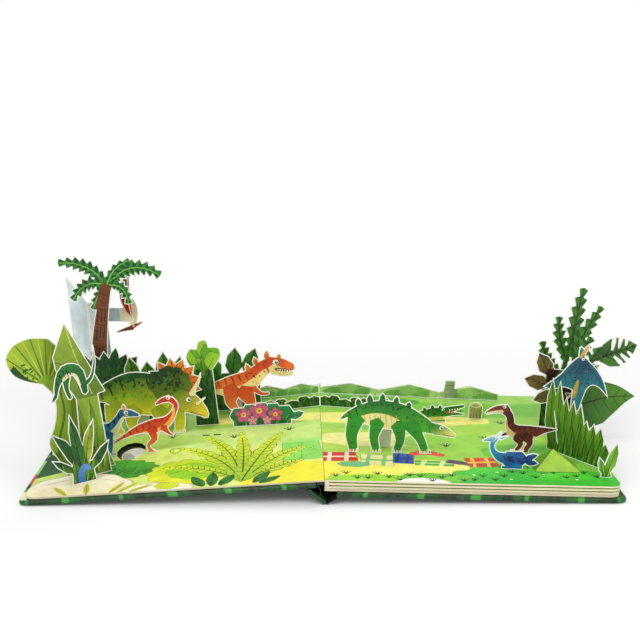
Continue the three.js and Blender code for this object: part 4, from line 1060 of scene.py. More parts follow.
def trunk_print():
    prints = leafy_prints([(-18, 46, 165, 21, 13), (-18, 54, 120, 21, 13), (-12, 40, 200, 19, 11)],
                          "8a7a2c", "5a4a1c", "2a1c0c")
    prints += leafy_prints([(12, 50, 70, 15, 9), (2, 42, 100, 18, 9), (-10, 42, 90, 18, 9)], "4f8f28",
                           "1f5a1c")
    prints += [(limb([(6, -4, 8.6), (6, 3, 8.6), (2, 16, 7), (-8, 34, 6.4), (-16, 50, 5), (-19, 58, 3.2)]),
                fade("3f1d12", "6f3a22", (-4, 20), (8, 24)))]
    prints += [(limb([(-4, 30, 4), (8, 42, 3), (14, 54, 2)]), "52281a")]
    for i in range(12):
        t = i / 11
        x, y = 7 - 24 * t ** 1.25, 2 + 54 * t
        prints += [(stroke([(x - 5 + 2 * t, y), (x - 1, y + 7)], 0.9, 2), "2a110a"),
                   (stroke([(x + 1, y + 1), (x + 3, y + 8)], 0.8, 2), "8a4c2e")]
    return "4a2416", prints


def teal_flyer_print():
    prints = [(poly((-26, -12), (-14, -3), (-6, 7), (2, 13), (8, 9), (16, 1), (22, -9), (26, -20),
                    (12, -11), (4, -16), (-10, -13)),
               fade("12566e", "238a90", (0, 12), (0, -14)))]
    prints += [(stroke([(2, 11), (-6, 1), (-24, -11)], 1.0, 4), "0f4a5c"),
               (stroke([(4, 10), (14, -1), (25, -18)], 1.0, 4), "0f4a5c")]
    prints += stripes_print([[(-22 + 4 * i, -9 + 2.6 * i), (-20 + 4 * i, -12.4 + 1.4 * i)]
                             for i in range(6)], "125a70", 0.9)
    prints += stripes_print([[(9 + 3 * i, 4 - 4 * i), (9 + 2.6 * i, -2 - 3 * i)] for i in range(5)],
                            "125a70", 0.9)
    prints += [(limb([(0, -30, 2), (0, -16, 3), (2, -2, 3.4), (4, 8, 2.8)]),
                fade("2a8f96", "0f4f66", (0, -24), (2, 4)))]
    prints += [(limb([(-1, -20, 1.6), (0, -12, 1.8), (1, -6, 0.8)]), "b9a54a")]
    prints += scales_print((2, -2), (9, 9), 44, 41, "0b3f52", 0.8)
    prints += [(blob(-2, -16, 2.4, 1.6), "e2b24a"), (leaf(3, 10, 100, 11, 4.6), "2a8a8a"),
               (leaf(1, 12, 60, 13, 3), "e0a84a")]
    prints += eye_print(3.4, 11, 1.3)
    return fade("12566e", "238a90", (0, 14), (0, -34)), prints


def grass_card_print():
    prints = []
    for i in range(9):
        x, height = -24 + 6 * i, 54 - 4.2 * i + 4 * math.sin(i * 2.1)
        prints += leaf_print(x, 4, 92 - i, height, 11, "86b232", "4a8624", "1d3f0f", veins=0)
        prints += [(stroke([(x + 1.4, 10 + 3 * (i % 3)), (x + 1.2, height * 0.7)], 0.7, 2), "33601a")]
    prints += leafy_prints([(-25 + 5 * i, -2, 100 - 3 * i, 22 + 5 * (i % 3), 6) for i in range(11)],
                           "79aa30", "35701e", "16300a", 0)
    prints += [(stroke([(-24 + 4.4 * i, 2), (-23.4 + 4.4 * i, 10 + 4 * (i % 2))], 0.8, 2), "1d3c0d")
               for i in range(11)]
    return "588f28", prints


def grass_blade_print():
    return "6fae2e", leafy_prints([(-2, 1, 108, 15, 5), (0, 1, 78, 26, 8)], "9fd03a", "3f8a26", "1d3c0d", 0)


def stump_print():
    prints = [(poly((-7, -1), (7, -1), (6, 12), (-6, 12)), fade("b9b878", "8f9a5a", (-6, 0), (6, 0)))]
    prints += [(blob(0, 12, 5, 2), "d9d7a0"), (blob(0, 12, 3, 1.1), "b0ab6c")]
    prints += [(stroke([(-4 + 2.6 * i, 1), (-3.6 + 2.4 * i, 9)], 0.6, 2), "6f7a44") for i in range(4)]
    return "a8ab6c", prints


def support_print():
    # A darker line along the fold stands for painted shade in the crease
    crease_shade = (stroke([(0, 0), (0, 50), (0, 98)], 0.9, 2), "b9cdd2")
    return fade("e6f0f1", "cfe0e4", (-20, 60), (14, 60)), [crease_shade]


def bush_half_print(length, count, side):
    prints = []
    for row, (low, tall) in enumerate(((5, 9), (-1, 8))):
        for i in range(count * 2):
            x = side * length * (i + 0.5 * (row % 2) + 0.2) / (count * 2)
            prints += leaf_print(x, low, 90 + 26 * math.sin(i * 1.7 + row), tall, 4.6,
                                 ("3f8f34", "57a838")[i % 2], "174f20", "0d2f12", veins=2)
    return "1a5424", prints


def hills_half_print(length, side):
    prints = [(poly((0, 8), (side * length, 8), (side * length, 30), (0, 30)), "e6efb8")]
    for i in range(6):
        x = side * length * (i + 0.5) / 6
        prints += [(lobed(x, 4 + 2 * (i % 2), length / 7, 6.5, 6, 0.08), ("c0dc96", "a4cc7c")[i % 2])]
        prints += [(lobed(x + 3, 2, length / 12, 4.5, 5, 0.1), "86ba64")]
        prints += [(stroke([(x - 6, 7.4), (x, 9), (x + 6, 7.6)], 0.5, 3), "5d8f3c")]
    if side > 0:
        prints += [(poly((109, -1), (123, -1), (123, 18), (109, 18)),
                    fade("b9c49a", "8c9c76", (110, 8), (122, 8)))]
        prints += [(stroke([(112, 4 + 4 * i), (120, 4.6 + 4 * i)], 0.6, 2), "6c7a58") for i in range(3)]
    prints += [(stroke([(side * (5 + 9 * i), 0.6), (side * (6 + 9 * i), 3)], 0.5, 1), "3f7a2c")
               for i in range(int(length / 9))]
    return fade("9acb5e", "cfe39a", (0, 1), (0, 12)), prints


def dress_standing_sheets():
    left = {
        "palm_tree": (-0.896, 0.313, palm_print()),
        "palm_bush": (-0.838, 0.242, palm_bush_print()),
        "leaf_row": (-0.637, 0.192, leaf_row_print()),
        "arch_leaves": (-0.33, 0.303, arch_leaves_print()),
        "orange_theropod": (-0.292, 0.172, orange_theropod_print()),
        "frill_leaf": (-0.442, 0.131, frill_leaf_print()),
        "flower_bush": (-0.226, 0.09, flower_bush_print()),
        "horned_dinosaur": (-0.675, 0.06, horned_print()),
        "red_dinosaur": (-0.6, -0.141, red_dinosaur_print()),
        "blue_dinosaur": (-0.782, -0.152, blue_dinosaur_print()),
    }
    right = {
        "long_neck_dinosaur": (0.245, -0.232, long_neck_print()),
        "crocodile": (0.435, 0.121, crocodile_print()),
        "stump": (0.613, 0.172, stump_print()),
        "hatchling": (0.613, -0.364, hatchling_print()),
        "maroon_theropod": (0.717, -0.202, maroon_theropod_print()),
        "grass_blade": (0.965, -0.42, grass_blade_print()),
        "trunk_card": (0.92, -0.061, trunk_print()),
        "broad_leaf": (0.975, 0.02, broad_leaf_print()),
        "monstera_spray": (0.99, 0.101, monstera_print()),
    }
    for body, group in (("front", left), ("back", right)):
        for node, (across, away, art) in group.items():
            simple_sheet(node, body, stand_frame(body, across, away), art)
    simple_sheet("grass_card", "back", stand_frame("back", 0.9, -0.25, -52), grass_card_print())
    flyer = stand_frame("back", 0.92, -0.061, 0, CARD + 9, 60)
    simple_sheet("teal_flyer", "back", flyer, teal_flyer_print())


def dress_wing():
    wing = stand_frame("front", -0.877, -0.328, 29)
    ahead = 9
    for node, depth, art in (("left_wing", 0, wing_print()), ("kite_panel", ahead, kite_print()),
                             ("arched_dinosaur", ahead + CARD + GLUE, arched_print()),
                             ("fern_cluster", 2 * ahead, fern_cluster_print())):
        simple_sheet(node, "front", wing @ Matrix.Translation((0, 0, depth)), art)


def turned(place, yaw):
    """The same axes, turned about the upright."""
    return place @ UPRIGHT.inverted() @ Matrix.Rotation(math.radians(yaw), 4, "Z") @ UPRIGHT


def dress_support_and_pteranodon():
    support = stand_frame("front", -0.91, 0.385)
    build = Build()
    for yaw in (-26, 6):
        standing_sheet(build, "palm_back_support", turned(support, yaw), *support_print(), border=0.5,
                       foot_colour="dbe8ea")
    settle(build.mesh("palm_back_support_sheet", printed_card, card_core), "front", "printed_card",
           "palm_back_support")

    reach, height, yaw = 36, 76, math.radians(6)
    across = -0.91 + (reach * math.cos(yaw) + (CARD + GLUE) * math.sin(yaw)) / PAGE_WIDTH
    away = 0.385 + (reach * math.sin(yaw) - (CARD + GLUE) * math.cos(yaw)) / PAGE_DEPTH
    flyer = stand_frame("front", across, away, 6, 0, height - 4)
    body = [(limb([(0, 2, 2.6), (1, 10, 3.4), (2, 18, 3.2), (1, 26, 2)], 4, 0.4), "f0e6c0")]
    body += [(limb([(0, 2, 2.4), (-6, 1, 1.6), (-14, -1, 0.6)]), "8a4a2a"),
             (limb([(1, 3, 1.6), (8, 6, 0.6)]), "b8562c")]
    body += [(stroke([(-13, -0.6), (-3, 1.4)], 0.5, 2), "4a2214")] + eye_print(0.4, 3, 0.9, -0.2)
    wing = [(poly((-12, 6), (12, 6), (12, 62), (-12, 62)), fade("d8401f", "a82a18", (-4, 20), (4, 54)))]
    wing += [(limb([(-1, 9, 1.6), (-7.6, 21, 1.2), (-9.4, 34, 1.2), (-3, 48, 1), (7, 58, 0.8)]), "f0d9a0")]
    wing += stripes_print([[(-7 + 0.6 * i, 18 + 6 * i), (0, 16 + 6 * i)] for i in range(6)], "7c1c10", 0.8)
    build = Build()
    standing_sheet(build, "pteranodon", flyer, "f0e6c0", body, border=0.5)
    for angle in (24, 80):
        standing_sheet(build, "pteranodon", turned(flyer, angle), "c8371c", wing, border=0.4)
    settle(build.mesh("pteranodon_sheet", printed_card, card_core), "front", "printed_card", "pteranodon")


def dress_gutter_sheets():
    """Each half of a sheet that is folded at the gutter goes with its own page."""
    rows = (("bush_strip", 0.29, 10, 8, bush_half_print(48, 5, -1), bush_half_print(68, 8, 1)),
            ("backdrop_hills", 0.465, 6, 3, hills_half_print(62, -1), hills_half_print(160, 1)))
    for node, away, left_yaw, right_yaw, left_art, right_art in rows:
        middle = Matrix.Translation(GUTTER + Vector((0, away * PAGE_DEPTH, GLUE)))
        halves = (("front", -LEFT_TILT, left_yaw, left_art), ("back", RIGHT_TILT, -right_yaw, right_art))
        for body, tilt, yaw, art in halves:
            page = middle @ Matrix.Rotation(tilt, 4, "Y")
            place = page @ Matrix.Rotation(math.radians(yaw), 4, "Z") @ UPRIGHT
            build = Build()
            standing_sheet(build, node, place, *art, border=0.6)
            settle(build.mesh(f"{node}_{body}_half", printed_card, card_core), body, "printed_card", node)


def shell_of(name, material, points, faces, colour, lining=None):
    """A piece of one colour from a closed shell, with a thin strip in the axes of the left page."""
    build = Build()
    build.add(Matrix.Identity(4), points, faces, [rgb(colour)] * sum(map(len, faces)), 0)
    if lining:
        build.block(side_frame("front"), *lining, colour, 0)
    return build.mesh(name, material)


def whole_solid(node):
    """A solid's points and triangles as they lie in the frame."""
    points, triangles = solid_points(node, Matrix.Identity(4))
    return points, [tuple(t) for t in triangles]


def dress_struts():
    for node, body in (("theropod_strut", "front"), ("horned_strut", "front"), ("wing_strut", "front"),
                       ("long_neck_strut", "back"), ("monstera_strut", "back"), ("flyer_strut", "back")):
        piece = shell_of(node + "_card", plain_card, *whole_solid(node), "f4f2e8")
        settle(piece, body, "plain_card", node)


def dress_folded_foot():
    """A sheet folded into four facets, each coloured by the way it faces as painted shade: lightest towards
    the reader, darkest towards the back.
    """
    points, triangles = solid_points("folded_foot", side_frame("back"))
    build = Build()
    a, b, c = (points[triangles[:, i]] for i in range(3))
    normal = np.cross(b - a, c - a)
    normal /= np.maximum(np.linalg.norm(normal, axis=1), 1e-9)[:, None]
    # Each facet's green is painted shade, chosen by the way the facet faces
    painted_facet_shades = {0: "6f9f2c", 1: "8fb83a", 2: "5f8f2a", 3: "a8cc48"}
    colours = []
    for n in normal:
        side = (0 if n[0] < 0 else 1) if abs(n[0]) > abs(n[1]) else (3 if n[1] < 0 else 2)
        colours += [rgb(painted_facet_shades[side])] * 3
    build.add(side_frame("back"), points, [tuple(t) for t in triangles], colours, 0)
    settle(build.mesh("folded_foot_sheet", printed_card), "back", "printed_card", "folded_foot")


# Page print
def tuft(x, y, size, colour="173f17"):
    """A small tuft of grass."""
    return [(stroke([(x, y), point_on(x, y, a, size * 1.5)], size * 0.26, 1), colour)
            for a in (52, 76, 104, 130)]


def printed_frond(start, bend, end, width, light, dark, pen):
    """A broad fern leaf drawn as a scalloped band with a rib and slanting lines."""
    s, b, e = (np.array(p, float) for p in (start, bend, end))
    count = 15
    share = [i / (count - 1) for i in range(count)]
    middle = [(1 - t) ** 2 * s + 2 * t * (1 - t) * b + t * t * e for t in share]
    wide = [width / 2 * math.sin(math.pi * (0.12 + 0.8 * t)) * (1.0 if i % 2 else 0.74)
            for i, t in enumerate(share)]
    band = limb([(p[0], p[1], w) for p, w in zip(middle, wide)], 2)
    out = inked(band, fade(dark, light, tuple(s), tuple(e)), pen, 0.7)
    for i in range(1, count - 1):
        along = middle[i + 1] - middle[i - 1]
        heading = math.degrees(math.atan2(along[1], along[0]))
        for side in (-1, 1):
            out.append((stroke([tuple(middle[i]), point_on(*middle[i], heading + side * 58, wide[i] * 1.1)],
                               0.7, 1), pen))
    out.append((stroke([tuple(p) for p in middle[::3]], 1.2, 3), pen))
    return out


def printed_fern(x, y, scale):
    """A fern of seven broad leaves and a bud."""
    out = []
    fronds = (((-30, 34), (-62, 32), 13), ((-18, 56), (-56, 72), 14), ((-8, 62), (-34, 94), 13),
              ((26, 26), (46, 34), 13), ((0, 56), (-6, 100), 13), ((24, 50), (48, 60), 15),
              ((14, 62), (28, 94), 15))
    for *curve, width in fronds:
        bend, end = ((x + dx * scale, y + dy * scale) for dx, dy in curve)
        out += printed_frond((x, y), bend, end, width * scale, "dcec44", "a4cc2c", "33500f")
    out += inked(blob(x - 58 * scale, y + 68 * scale, 4, 5), "c9e23a", "4c6a1a", 0.5)
    out += [(blob(x - 57 * scale, y + 68 * scale, 2, 2.6), "eef6b0")]
    return out


def left_page_print():
    prints = [(poly((-230, -28), (-112, -22), (0, -40), (0, 110), (-230, 110)),
               fade("d8ec96", "9ed450", (0, -30), (0, 99)))]
    prints += [(lobed(-60, 72, 110, 22, 12, 0.04), "8cc850"), (lobed(-150, 82, 80, 26, 10, 0.05), "6fb53f")]
    prints += [(lobed(-120, 30, 96, 15, 9, 0.05), "b5dc64"), (lobed(-40, 34, 60, 11, 7, 0.05), "f2ec8a")]
    prints += [(lobed(-70, 0, 90, 17, 8, 0.04), "cfe88c"), (lobed(-150, -6, 60, 16, 8, 0.05), "c2e27a")]
    prints += [(poly((0, -99), (-60, -99), (-56, -70), (-30, -62), (0, -64)), "f3ea3e")]
    prints += inked(poly((-30, -60), (-31, -24), (-3, -22), (0, -58)), "9be06a", "5f9a3a", 0.5)
    prints += [(poly((-31, -24), (-26, -16), (0, -15), (0, -22)), "b6ec84")]
    prints += [(stroke([(-16, -60), (-16, -23)], 0.6, 2), "5f9a3a")]
    prints += scales_print((-16, -42), (11, 12), 12, 51, "6fb548", 1.0)
    prints += [(poly((-212, -18), (-186, -52), (-212, -66)),
                fade("124a24", "1f6a30", (-210, -20), (-200, -60)))]
    prints += inked(lobed(-156, -58, 34, 19, 16, 0.12), fade("2f9a38", "57b83a", (-156, -72), (-156, -40)),
                    "1f5a20", 0.5)
    prints += scales_print((-156, -56), (26, 11), 40, 52, "237a2c", 1.2)
    prints += leafy_prints([(-184 + 6.5 * i, -66 - 2 * (i % 2), 112 - 8 * i, 13, 4) for i in range(9)],
                           "4fae3a", "1f7a2c", "123c14", 0)
    prints += inked(lobed(-100, -70, 30, 24, 13, 0.14), fade("e6e83a", "c5e038", (-100, -90), (-100, -46)),
                    "7f9a20", 0.6)
    prints += inked(lobed(-96, -68, 20, 15, 9, 0.12), "9fd62e", "6f9a20", 0.4)
    prints += [(stroke([(-112, -72), (-96, -62), (-80, -60)], 0.7, 3), "6f9a20"),
               (stroke([(-104, -80), (-92, -72)], 0.7, 3), "6f9a20")]
    prints += printed_fern(-59, -91, 0.95)
    prints += leafy_prints([(-86, -97, 118, 20, 8), (-80, -97, 92, 24, 8), (-74, -97, 64, 20, 8),
                            (-50, -96, 62, 22, 8), (-46, -97, 36, 18, 7)],
                           "2f9a3a", "0f5a22", "0b3314", 2)
    prints += inked(lobed(-176, -92, 40, 30, 9, 0.05), fade("fbf6de", "efe6c0", (-176, -66), (-176, -96)),
                    "8f8f5a", 0.6)
    prints += inked(lobed(-118, -98, 26, 12, 8, 0.06), "faf4da", "8f8f5a", 0.5)
    prints += [(stroke([(-200, -78), (-186, -72), (-170, -72)], 0.5, 3), "9a9464"),
               (stroke([(-160, -74), (-150, -78)], 0.5, 3), "9a9464")]
    for x in (-182, -168, -152, -146, -138):
        prints += [(leaf(x, -99, 128 - (x + 182) * 2.1, 20, 4.4), "c9c832"),
                   (stroke([(x, -99), point_on(x, -99, 128 - (x + 182) * 2.1, 16)], 0.6, 2), "7f8a1c")]
    prints += inked(lobed(-112, -92, 9, 6, 7, 0.12), "d6e03a", "7f9a20", 0.4)
    for x, y in ((-70, -6), (-120, 2), (-26, 4), (-140, 18), (-60, 26), (-186, 12), (-30, 60), (-96, 60),
                 (-160, 44)):
        prints += tuft(x, y, 5)
    return fade("cfe67e", "e8ee8c", (-200, 0), (0, -60)), prints


def gift(x, y, width, height, fill, ribbon, turn=0.0):
    """A small wrapped box with a ribbon, of no special design."""
    w, h = width / 2, height / 2

    def field(*corners):
        return poly(*(point_on(x, y, turn, w * a, h * b) for a, b in corners))

    out = inked(field((-1, -1), (1, -1), (1, 1), (-1, 1)), fill, "5a4a2a", 0.4)
    for k in range(2):
        out.append((field((k - 0.8, -1), (k - 0.55, -1), (k - 0.35, 1), (k - 0.6, 1)), ribbon))
    return out + [(field((-1, -0.15), (1, -0.15), (1, 0.15), (-1, 0.15)), ribbon)]


def right_page_print():
    prints = [(poly((0, -40), (230, -30), (230, 110), (0, 110)),
               fade("bfe060", "8ccf58", (0, -30), (0, 99)))]
    prints += [(lobed(60, 30, 84, 16, 9, 0.05), "f0eb8c"), (lobed(120, 62, 100, 24, 10, 0.04), "86c84c")]
    prints += [(lobed(120, 88, 90, 16, 10, 0.05), "a9d86c"), (lobed(30, 74, 60, 14, 8, 0.05), "63b04a")]
    prints += [(lobed(40, -18, 50, 15, 7, 0.05), "f5f0a0"), (lobed(118, -20, 62, 17, 8, 0.05), "a5da5a")]
    prints += [(lobed(170, -40, 50, 20, 8, 0.05), "7cc84a"), (lobed(60, 8, 50, 6, 7, 0.1), "8fd060")]
    prints += [(poly((0, -99), (0, -60), (40, -56), (110, -60), (104, -84), (60, -92), (56, -99)),
                fade("f6ee4a", "f8f08a", (0, -90), (60, -60)))]
    prints += inked(lobed(152, -100, 72, 36, 19, 0.09), fade("3fbf3a", "66d548", (150, -98), (150, -66)),
                    "1f7a2c", 0.5)
    prints += [(lobed(36, -101, 40, 15, 9, 0.1), "a9dc4a"), (lobed(80, -90, 28, 8, 9, 0.1), "7ccc44")]
    prints += inked(blob(70, -101, 20, 9.5, 0, 28), "f8f6ea", "5f7a4a", 0.4)
    prints += gift(12, -55, 26, 17, "d5372a", "f3e3c4", 4) + gift(40, -60, 24, 20, "f3e9ae", "8fd07a", -3)
    prints += gift(60, -56, 15, 19, "2c62b8", "1c3f86", -6) + gift(82, -64, 28, 9, "4fb452", "dff0a8", -2)
    prints += inked(limb([(68, -47, 3.4), (78, -43, 4), (90, -48, 3.2)]), "e2554a", "8a2a22", 0.4)
    prints += scales_print((79, -46), (9, 2), 8, 61, "f7c9c0", 0.7)
    prints += inked(lobed(22, -69, 12, 5, 7, 0.12), "7cc490", "2f7a4a", 0.4)
    prints += inked(limb([(94, -60, 3.6), (102, -62, 3), (110, -66, 2)]), "6d4a6a", "3a2638", 0.4)
    prints += gift(118, -60, 22, 17, "e0412c", "f4cf52", 6)
    prints += scales_print((118, -60), (8, 6), 8, 62, "f7b89a", 0.8)
    prints += [(stroke([(100 + 5 * i, -66 - 0.5 * i), (101.6 + 5 * i, -60 - 0.5 * i)], 1.0, 2), "2a8a34")
               for i in range(18)]
    for i in range(26):
        x = 8 + 7.6 * i
        prints += tuft(x, -92 + 5 * math.sin(i * 1.9) + (10 if i > 15 else 0), 4.2, "17401a")
    for x, y in ((24, -6), (64, -2), (96, -30), (130, -12), (150, 24), (90, 36), (180, 10), (40, 44),
                 (120, 50), (160, -50), (186, -34)):
        prints += tuft(x, y, 5)
    lights = ((108, -84), (134, -90), (160, -80), (182, -88), (170, -70), (126, -78))
    prints += [(blob(x, y, 1.2, 0.8, 0, 8), "fff6c8") for x, y in lights]
    return fade("b5dd58", "8fd050", (40, 0), (200, -40)), prints


def dress_left_page():
    place = side_frame("front")
    rings = printed_outline("left_page", place, 0.0)
    base, prints = left_page_print()
    sheet = Sheet(rings, prints, 0.0, 8.0)
    front = sheet.colours(base, prints, "ffffff")
    back = np.tile(rgb("f4efe0"), (len(front), 1))
    build = Build()
    # Cut walls inside this oval, round the peep hole and the slits, are near-black as painted shade
    openings = blob(-124, -12, 58, 36)
    build.sheet(place, sheet, front, back, 0.0, -PAGE_THICKNESS, shaded_rim=openings)
    settle(build.mesh("left_page_printed", printed_page, leaf_core), "front", "printed_page", "left_page",
           flat=False)


def dress_page_block():
    place = side_frame("back")
    rings = printed_outline("page_block", place, 0.0)
    base, prints = right_page_print()
    sheet = Sheet(rings, prints, 0.0, 8.0)
    front = sheet.colours(base, prints, "ffffff")
    back = np.tile(rgb("dfe8b0"), (len(front), 1))
    build = Build()
    plain = Sheet(rings, [], 0.0, 30.0)
    pale = plain.colours("dfe8a8", [], "ffffff")
    top = 0.0
    for index, (thickness, gap) in enumerate(zip(LEAF_THICKNESSES, LEAF_GAPS)):
        if index == 0:
            build.sheet(place, sheet, front, back, top, top - thickness)
        else:
            build.sheet(place, plain, pale, pale, top, top - thickness)
        top -= thickness + gap
    clear = 0.05
    half = PAGE_DEPTH / 2 - clear
    build.block(place, (clear, -half, top + clear), (BINDING_WIDTH, half, -clear), "e9dfc4")
    settle(build.mesh("page_block_leaves", printed_page, leaf_core), "back", "page_leaves", "page_block",
           flat=False)


def cover_art(side):
    """Broad jungle leaves in greens, of no special design, over the outside of a cover."""
    prints = []
    dice = np.random.default_rng(71)
    greens = ("1f6a34", "2b8040", "155228", "3a9448", "0f4420")
    for i in range(30):
        x, y = side * dice.uniform(10, 216), dice.uniform(-100, 100)
        angle, length = dice.uniform(0, 360), dice.uniform(40, 80)
        prints += leaf_print(x, y, angle, length, length * 0.34, greens[i % 5], greens[(i + 2) % 5],
                             "0a2f16", veins=5)
    for i in range(9):
        x, y = side * dice.uniform(20, 200), dice.uniform(-90, 90)
        prints += frond_print((x, y), (x + 10, y + 30), (x + dice.uniform(-30, 30), y + 55), 26, 8,
                              "5fae3c", "2f8a38", "b7c94a")
    return fade("0f3f20", "1a5a2c", (0, -100), (0, 100)), prints


def turn_in_art(side):
    """The strips of cover paper that show around the page: leaf stripes in two greens."""
    prints = []
    near, far = side * (PAGE_WIDTH - 4), side * (PAGE_WIDTH + COVER_SQUARE)
    for i in range(26):
        y = -103 + 8 * i
        colour = ("2f8a3c", "14552a", "5fb04a", "0f4420")[i % 4]
        prints.append((poly((near, y), (far, y + 3), (far, y + 8), (near, y + 4)), colour))
    for i in range(28):
        x = side * (4 + 7.6 * i)
        colour = ("0f4420", "1f6a30", "14552a", "0c3a1a", "4aa544")[i * 3 % 5]
        wide = side * (3 + 2 * (i * 5 % 3))
        for y0, y1 in ((-103, -97), (97, 103)):
            prints.append((poly((x, y0), (x + wide, y0), (x + wide + side * 3, y1), (x + side * 3, y1)),
                           colour))
    if side < 0:
        prints.append((poly((-217, -70), (-210, -72), (-210, -56), (-217, -52)), "d8503c"))
        prints.append((poly((-217, -52), (-210, -56), (-210, -30), (-217, -26)), "9fdc8a"))
        prints.append((poly((-217, -98), (-210, -99), (-210, -86), (-217, -84)), "e9e3c4"))
    inner = PAGE_WIDTH - 5
    prints.append((poly((side * 8, -94), (side * inner, -94), (side * inner, 94), (side * 8, 94)),
                   "f1efe8"))
    if side < 0:
        # A near-black field under the page's slits: painted shade seen through them
        prints.append((poly((-100, -2), (-78, -2), (-78, 8), (-100, 8)), "15120f"))
        # Through the peep hole: a black ring of painted shadow, the pale board, and a grey patch of painted
        # shade on it
        x, y = PEEP_HOLE
        prints.append((blob(x, y, 13, 20, 0, 32), "15120f"))
        prints.append((blob(x + 2.6, y - 4, 9.4, 14.6, 0, 32), "eceae4"))
        prints.append((blob(x - 1, y - 8, 4.5, 9, 20, 16), "b4b5b0"))
    return "14552a", prints


def dress_covers():
    for node, body, side, stack in (("front_cover", "front", -1, FRONT_STACK),
                                    ("back_cover", "back", 1, BACK_STACK)):
        place = side_frame(body)
        rings = [inset(ring, BOARD_EDGE_RADIUS) for ring in printed_outline(node, place, BOARD - stack)]
        inside_base, inside = turn_in_art(side)
        outside_base, outside = cover_art(side)
        sheet = Sheet(rings, inside + outside, 0.0, 12.0)
        front = sheet.colours(inside_base, inside, "ffffff")
        back = sheet.colours(outside_base, outside, "ffffff")
        build = Build()
        build.sheet(place, sheet, front, back, BOARD - stack, -stack, rounded=BOARD_EDGE_RADIUS)
        settle(build.mesh(node + "_wrapped", cover_paper), body, "cover_board", node, flat=False)


def dress_spine():
    """The spine board, in axes along its length, across its width and out of its outer side."""
    lean = math.radians(SPINE_LEAN)
    along = Vector((-math.cos(lean), 0, math.sin(lean)))
    outward = Vector((-math.sin(lean), 0, -math.cos(lean)))
    place = Matrix.Identity(4)
    for column, axis in enumerate((Vector((0, -1, 0)), along, outward, SPINE_FOOT)):
        for row in range(3):
            place[row][column] = axis[row]
    half = PAGE_DEPTH / 2 + COVER_SQUARE - BOARD_EDGE_RADIUS
    low, high = BOARD_EDGE_RADIUS, SPINE_WIDTH - BOARD_EDGE_RADIUS
    prints = []
    for i in range(16):
        prints += leaf_print(-100 + 13 * i, 1, 62 + 40 * (i % 2), 20, 8, "2f8a40", "14552a", "0a2f16",
                             veins=3)
    sheet = Sheet([poly((-half, low), (half, low), (half, high), (-half, high))], prints, 0.0, 8.0)
    front = sheet.colours("14552a", prints, "ffffff")
    build = Build()
    build.sheet(place, sheet, front, front, 0.0, -BOARD, rounded=BOARD_EDGE_RADIUS)
    settle(build.mesh("spine_board_wrapped", cover_paper), "spine", "cover_board", "spine_board",
           flat=False)


def cut_solid(node, level, above):
    """The part of a solid above or below a level, with its cut closed."""
    points, triangles = whole_solid(node)
    shell = bmesh.new()
    corners = [shell.verts.new(p) for p in points]
    for a, b, c in triangles:
        shell.faces.new((corners[a], corners[b], corners[c]))
    everything = shell.verts[:] + shell.edges[:] + shell.faces[:]
    bmesh.ops.bisect_plane(shell, geom=everything, plane_co=(0, 0, level), plane_no=(0, 0, 1),
                           clear_outer=not above, clear_inner=above)
    bmesh.ops.holes_fill(shell, edges=[edge for edge in shell.edges if edge.is_boundary])
    bmesh.ops.recalc_face_normals(shell, faces=shell.faces)
    shell.verts.index_update()
    kept = [tuple(v.co) for v in shell.verts]
    faces = [tuple(v.index for v in face.verts) for face in shell.faces]
    shell.free()
    return kept, faces


def dress_hinges():
    """The front strip parts between spine and cover; the back strip stays one piece where it lies."""
    below = cut_solid("front_hinge_cloth", HINGE_SPLIT, False)
    lower = shell_of("front_hinge_paper_spine", hinge_paper, *below, HINGE_GREEN)
    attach(lower, "spine")
    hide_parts("front_hinge_cloth")
    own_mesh(lower)

    # The lining lies under the open page beside the gutter, a little shorter than the cover
    half = PAGE_DEPTH / 2 + COVER_SQUARE - 0.5
    lining = ((-5.7, -half, -2.3), (-0.4, half, -1.8))
    above = cut_solid("front_hinge_cloth", HINGE_SPLIT, True)
    upper = shell_of("front_hinge_paper_cover", hinge_paper, *above, HINGE_GREEN, lining)
    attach(upper, "front")
    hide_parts("front_hinge_cloth")
    tuple(up_of("front"))
    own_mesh(upper)

    piece = shell_of("back_hinge_paper", hinge_paper, *whole_solid("back_hinge_cloth"), HINGE_GREEN)
    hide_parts("back_hinge_cloth")
    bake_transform(piece)


def mathematics(nodes, links, kind, operation, *values):
    """A node that works a sum out of sockets or plain values."""
    node = nodes.new(kind)
    node.operation = operation
    for socket, value in zip(node.inputs, values):
        if isinstance(value, bpy.types.NodeSocket):
            links.new(value, socket)
        else:
            socket.default_value = value
    return node.outputs["Vector" if kind == "ShaderNodeVectorMath" and operation != "LENGTH" else "Value"]


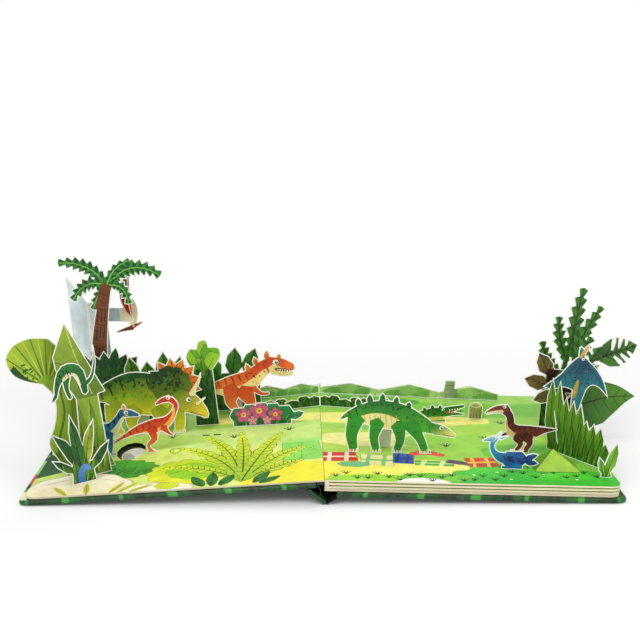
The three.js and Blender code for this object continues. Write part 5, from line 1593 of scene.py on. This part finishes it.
def make_table():
    """A table of its own colour under the book, plain white to the camera further away."""
    floor = bpy.data.meshes.new("table")
    size = 4.0
    floor.from_pydata([(-size, -size, 0), (size, -size, 0), (size, size, 0), (-size, size, 0)], [],
                      [(0, 1, 2, 3)])
    table = bpy.data.objects.new("table", floor)
    bpy.context.scene.collection.objects.link(table)
    material = bpy.data.materials.new("white table")
    material.use_nodes = True
    nodes, links = material.node_tree.nodes, material.node_tree.links
    shader = nodes["Principled BSDF"]
    shader.inputs["Base Color"].default_value = (0.86, 0.86, 0.86, 1)
    shader.inputs["Roughness"].default_value = 0.6
    glow = nodes.new("ShaderNodeEmission")
    path = nodes.new("ShaderNodeLightPath")
    spot = nodes.new("ShaderNodeTexCoord").outputs["Object"]
    whole = mathematics(nodes, links, "ShaderNodeVectorMath", "ABSOLUTE", spot)
    beyond = mathematics(nodes, links, "ShaderNodeVectorMath", "SUBTRACT", whole, BOOK_REACH)
    outside = mathematics(nodes, links, "ShaderNodeVectorMath", "MAXIMUM", beyond, (0, 0, 0))
    reach = mathematics(nodes, links, "ShaderNodeVectorMath", "LENGTH", outside)
    whiteness = spread(nodes, links, reach, *WHITE_SHARES, 0.0, WHITE_REACH)
    seen = mathematics(nodes, links, "ShaderNodeMath", "MAXIMUM", path.outputs["Is Camera Ray"],
                       path.outputs["Is Glossy Ray"])
    share = mathematics(nodes, links, "ShaderNodeMath", "MULTIPLY", seen, whiteness)
    mix = nodes.new("ShaderNodeMixShader")
    links.new(share, mix.inputs["Fac"])
    links.new(shader.outputs[0], mix.inputs[1])
    links.new(glow.outputs[0], mix.inputs[2])
    links.new(mix.outputs[0], nodes["Material Output"].inputs["Surface"])
    floor.materials.append(material)


def make_world():
    """Even light from all around, and white where the table ends."""
    world = bpy.data.worlds.new("studio")
    bpy.context.scene.world = world
    world.use_nodes = True
    nodes, links = world.node_tree.nodes, world.node_tree.links
    background = nodes["Background"]
    path = nodes.new("ShaderNodeLightPath")
    level = spread(nodes, links, path.outputs["Is Camera Ray"], 0.45, 1.0, 0.0, 1.0)
    links.new(level, background.inputs["Strength"])
    background.inputs["Color"].default_value = (1, 1, 1, 1)


def make_lamps():
    """Three soft lamps from above."""
    for name, place, power, size, aim in LAMPS:
        lamp = bpy.data.lights.new(name, "AREA")
        lamp.energy = power
        lamp.size = size
        holder = bpy.data.objects.new(name, lamp)
        bpy.context.scene.collection.objects.link(holder)
        holder.location = place
        holder.rotation_euler = (Vector(aim) - Vector(place)).to_track_quat("-Z", "Y").to_euler()


def make_camera():
    """The photograph's own view."""
    camera = bpy.data.cameras.new("camera")
    camera.sensor_width = SENSOR
    camera.lens = FOCAL_SHARE * SENSOR
    eye = bpy.data.objects.new("camera", camera)
    bpy.context.scene.collection.objects.link(eye)
    eye.location = CAMERA_PLACE
    turn = Matrix.Rotation(math.radians(-CAMERA_RIGHT), 4, "Z")
    turn = turn @ Matrix.Rotation(math.radians(90 - CAMERA_DOWN), 4, "X")
    eye.rotation_euler = (turn @ Matrix.Rotation(math.radians(CAMERA_ROLL), 4, "Z")).to_euler()
    bpy.context.scene.camera = eye
    bpy.context.scene.view_settings.view_transform = "Standard"


make_table()
make_world()
make_lamps()
make_camera()
dress_covers()
dress_spine()
dress_hinges()
dress_left_page()
dress_page_block()
dress_standing_sheets()
dress_wing()
dress_support_and_pteranodon()
dress_gutter_sheets()
dress_struts()
dress_folded_foot()
